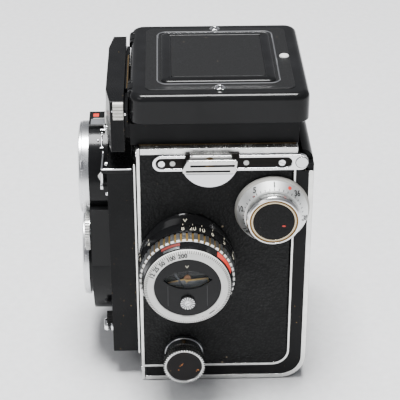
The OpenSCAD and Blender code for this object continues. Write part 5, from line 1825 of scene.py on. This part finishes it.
@dataclass
class Back:
    """Hinged back with its leather, lock lever and tripod socket."""

    thread_pitch: float = 1.27

    def build(self) -> None:
        """Makes the back and its base fittings."""
        Shape().node("camera_back", BACK_BLACK).piece(
            "back_shell", "back", "black_paint", "camera_back", edge=Edge(0.3, BACK_EDGE))
        rim = Shape()
        for side, sign in ((Side.KNOB, 1.0), (Side.CRANK, -1.0)):
            outline = [(-36.9, 0.05), (38.45, 0.05, 12.0), (38.45, 111.8), (36.3, 111.8), (36.3, 2.15, 9.8),
                       (-36.9, 2.15)]
            rim.prism(seat(side, Vector((0, 0, 0))), mirrored(outline, sign), 39.7, 40.12, LINE, top=0.2, steps=10)
        rim.piece("back_bright_rim", "back", "satin_chrome")
        low, high = span("back_leather")
        Shape().prism(seat(Side.BACK, Vector((0, 0, 0))), rectangle((low.x, low.z), (high.x, high.z), 2.5),
                      low.y, high.y, LEATHER, top=0.25).piece("back_leather_panel", "back", "leather",
                                                              "back_leather")
        Shape().node("back_lock_lever", SATIN).piece(
            "base_lock_lever", "lock_lever", "satin_chrome", "back_lock_lever", edge=Edge(0.25, SATIN_EDGE, 3))
        place = seat(Side.BASE, Vector((0, 0, 0)))
        bore, crest = 3.175, 2.85
        outline = [(bore, 0.0), (8.0, 0.0, 0.2), (8.0, -3.2), (10.0, -3.2), (10.0, -4.6), (8.0, -4.6), (8.0, -6.2),
                   (0, -6.2), (0, -5.2), (bore, -5.2)]
        turns = int(4.4 / self.thread_pitch)
        for k in range(turns):
            start = -5.0 + k * self.thread_pitch
            outline += [(bore, start + 0.15), (crest, start + 0.55), (crest, start + 0.7), (bore, start + 1.1)]
        Shape().lathe(place, outline, ALLOY).piece("tripod_nut", "back", "satin_alloy", "tripod_bush")


@dataclass
class Crank:
    """Winding crank on the side away from the knobs."""

    def build(self) -> None:
        """Makes the hub, the arm and the grip."""
        Shape().node("crank_hub", SATIN).piece("crank_boss", "crank", "satin_chrome", "crank_hub",
                                               edge=Edge(0.35, SATIN_EDGE, 3))
        Shape().node("crank_arm", SATIN).piece("crank_lever", "crank_arm", "satin_chrome", "crank_arm",
                                               edge=Edge(0.3, SATIN_EDGE, 3))
        low, high = span("crank_grip")
        place = seat(Side.CRANK, middle("crank_grip"))
        radius = (high.z - low.z) / 2
        start, end = -high.x, -low.x
        grip = Shape().lathe(place, [
            (1.05, start), (radius - 0.3, start, 0.4), (radius, start + 1.8, 0.5), (radius - 0.2, end, 0.6),
            (1.05, end)], CHARCOAL, ring=True, segments=64)
        grip.piece("crank_handle", "crank_grip", "gloss_black", "crank_grip")


def dress(node: str, finish: Finish) -> None:
    """Gives a frame node a finish in place of its plain one."""
    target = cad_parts[node]
    for index in range(len(target.material_slots)):
        target.material_slots[index].link = "OBJECT"
        target.material_slots[index].material = finish.material()


@dataclass
class Studio:
    """Pale floor, soft lights and the camera."""

    distance: tuple[float, float, float] = (0.5485, -0.02465, 0.3928)
    pitch: float = 30.10
    yaw: float = -1.53
    roll: float = -0.06
    lens: float = 120.7
    sensor: float = 36.0
    floor_size: float = 6.0

    def build(self) -> None:
        """Sets the stage."""
        self.floor()
        self.lights()
        self.camera()

    def floor(self) -> None:
        """A large matt floor under the camera's base."""
        half = self.floor_size / 2
        mesh = bpy.data.meshes.new("floor")
        mesh.from_pydata([(-half, -half, 0), (half, -half, 0), (half, half, 0), (-half, half, 0)], [], [(0, 1, 2, 3)])
        mesh.materials.append(FLOOR.material())
        made = bpy.data.objects.new("floor", mesh)
        bpy.context.scene.collection.objects.link(made)
        made.location.z = CAD_BOX[0].z - 0.0005

    def lights(self) -> None:
        """A tent of soft light with one panel above and a weak one in front."""
        world = bpy.data.worlds.new("tent")
        world.use_nodes = True
        graph = Graph(world.node_tree)
        graph.tree.nodes.clear()
        direction = graph.node("ShaderNodeTexCoord").outputs["Generated"]
        height = graph.value("ShaderNodeSeparateXYZ", None, {0: direction}, "Z")
        colour = graph.node("ShaderNodeValToRGB", {"stops": [
            (0.0, (0.50, 0.505, 0.52, 1)), (0.5, (0.60, 0.605, 0.62, 1)), (0.62, (0.34, 0.345, 0.36, 1)),
            (0.80, (0.20, 0.205, 0.22, 1)), (1.0, (0.50, 0.505, 0.52, 1))]}, {0: height * 0.5 + 0.5}).outputs[0]
        background = graph.node("ShaderNodeBackground", None, {"Color": colour, "Strength": 1.0})
        graph.node("ShaderNodeOutputWorld", None, {0: background.outputs[0]})
        bpy.context.scene.world = world
        for name, place, size, power in (
                ("top_panel", (0.0, -0.06, 1.6), (0.6, 0.6), 66.0),
                ("front_panel", (0.9, -0.7, 1.1), (0.8, 0.6), 4.0)):
            light = bpy.data.lights.new(name, "AREA")
            light.shape = "RECTANGLE"
            light.size, light.size_y = size
            light.energy = power
            made = bpy.data.objects.new(name, light)
            bpy.context.scene.collection.objects.link(made)
            made.location = place
            made.rotation_euler = (Vector((0, 0, 0.07)) - Vector(place)).to_track_quat("-Z", "Y").to_euler()

    def camera(self) -> None:
        """The camera that looks down on the knob side."""
        pitch, yaw, roll = (math.radians(v) for v in (self.pitch, self.yaw, self.roll))
        forward = Vector((-math.cos(pitch) * math.cos(yaw), -math.cos(pitch) * math.sin(yaw), -math.sin(pitch)))
        data = bpy.data.cameras.new("view")
        data.sensor_width = self.sensor
        data.lens = self.lens
        data.clip_start = 0.01
        data.clip_end = 50.0
        made = bpy.data.objects.new("view", data)
        bpy.context.scene.collection.objects.link(made)
        turned = forward.to_track_quat("-Z", "Y").to_matrix().to_4x4() @ Matrix.Rotation(roll, 4, "Z")
        made.matrix_world = Matrix.Translation(self.distance) @ turned
        bpy.context.scene.camera = made


HOOD_BASE = Enamel("hood_base_black", roughness=0.34, chips=0.06)
DECK = Metal("deck_satin", colour=(0.80, 0.80, 0.78), roughness=0.20, brush=(1.0, 7.0, 1.0), grain=0.05, grime=0.55)
CELL = Glass("cell_glass", colour=(0.30, 0.32, 0.31), bloom=(0.45, 0.46, 0.45), roughness=0.15)
IVORY_METAL = Plain("white_metal", colour=(0.74, 0.74, 0.72), stain=(0.25, 0.22, 0.18), roughness=0.22)
INK_GREY = Ink("ink_grey", colour=(0.13, 0.125, 0.115), rubbed=(0.45, 0.44, 0.40))
GROOVE = Metal("groove_brass", colour=(0.40, 0.26, 0.09), roughness=0.42, grime=0.6)
RING_GREY = Metal("ring_grey", colour=(0.36, 0.37, 0.38), roughness=0.26, grain=0.02)
RIM_GREY = Plain("rim_grey", colour=(0.42, 0.41, 0.38), stain=(0.30, 0.29, 0.26), roughness=0.4)
BRIGHT_WORN = Metal("bright_chrome_worn", colour=(0.82, 0.82, 0.80), roughness=0.16, grain=0.02, grime=0.7)
PLATE_LINE = Ink("plate_line", colour=(0.06, 0.06, 0.065), rubbed=(0.04, 0.04, 0.04), roughness=0.3)
BROWN_RING = Metal("brown_ring", colour=(0.17, 0.095, 0.03), roughness=0.3, grime=0.3)
GOLD_RING = Metal("gold_ring", colour=(0.55, 0.47, 0.33), roughness=0.2, grime=0.4)
KNOB_DISC = Enamel("knob_disc", colour=(0.012, 0.011, 0.011), roughness=0.42, chips=0.15)
RUST = Ink("rust", colour=(0.42, 0.14, 0.03), rubbed=(0.20, 0.08, 0.03), roughness=0.7)
BACK_BLACK = Enamel("back_black", roughness=0.3, chips=0.12)
BACK_EDGE = Enamel("back_black_worn", roughness=0.28, chips=0.3, bare=(0.45, 0.44, 0.40), gloss=0.4)
# Dark paint of the recess floors, also used for painted shade patches and slot floors.
DARK_INLAY_AND_SHADE = Enamel("inlay_and_painted_shade", colour=(0.006, 0.005, 0.004), roughness=0.4, chips=0.0, gloss=0.1)
LIP_CHROME = Metal("lip_chrome", colour=(0.74, 0.74, 0.72), roughness=0.14, grain=0.02, grime=0.45)
WORN_BRASS = Metal("worn_brass", colour=(0.15, 0.105, 0.055), roughness=0.42, grime=0.9)
# Also the thin strip beside the peep glass, a painted highlight.
RIB_WHITE = Plain("rib_white", colour=(0.82, 0.82, 0.80), stain=(0.50, 0.47, 0.40), roughness=0.25)
# Opaque grey in place of glass: a painted reflection.
PEEP_GLASS = Plain("peep_glass", colour=(0.16, 0.165, 0.175), stain=(0.30, 0.20, 0.19), roughness=0.12)
PANE_GREY = Plain("pane_grey", colour=(0.11, 0.12, 0.13), stain=(0.18, 0.18, 0.18), roughness=0.2)
DIAL_SATIN = Turned("dial_satin", Side.KNOB, tuple(middle("counter_dial")), (0.88, 0.89, 0.88), 0.42, 0.012)
TURNED_KNOB = Turned("knob_turned", Side.KNOB, tuple(middle("upper_spool_knob")), (0.84, 0.84, 0.83), 0.13, 0.006)
TURNED_FRONT = Metal("wheel_face", colour=(0.80, 0.80, 0.79), roughness=0.2)
RINGS = {name: Turned("ring_" + name, Side.LENS, (0.0, 0.0, z), (0.80, 0.81, 0.82), 0.2, 0.008)
         for name, z in (("viewing", 93.5), ("taking", 48.5))}
FLOOR = Plain("floor_pale", colour=(0.90, 0.905, 0.915), stain=(0.84, 0.85, 0.87), dirt=0.2, roughness=0.6, tooth=0.0)


def main() -> None:
    """Builds the sub-assemblies in order and logs each one."""
    logging.basicConfig(level=logging.INFO, format="%(message)s")
    for part in (Studio(), Body(), StrapFittings(), Hood(), MeterHead(), Standard(), FocusKnob(), SpoolKnobs(),
                 Back(), Crank()):
        LOG.info("building %s", type(part).__name__)
        part.build()


if __name__ == "__main__":
    main()
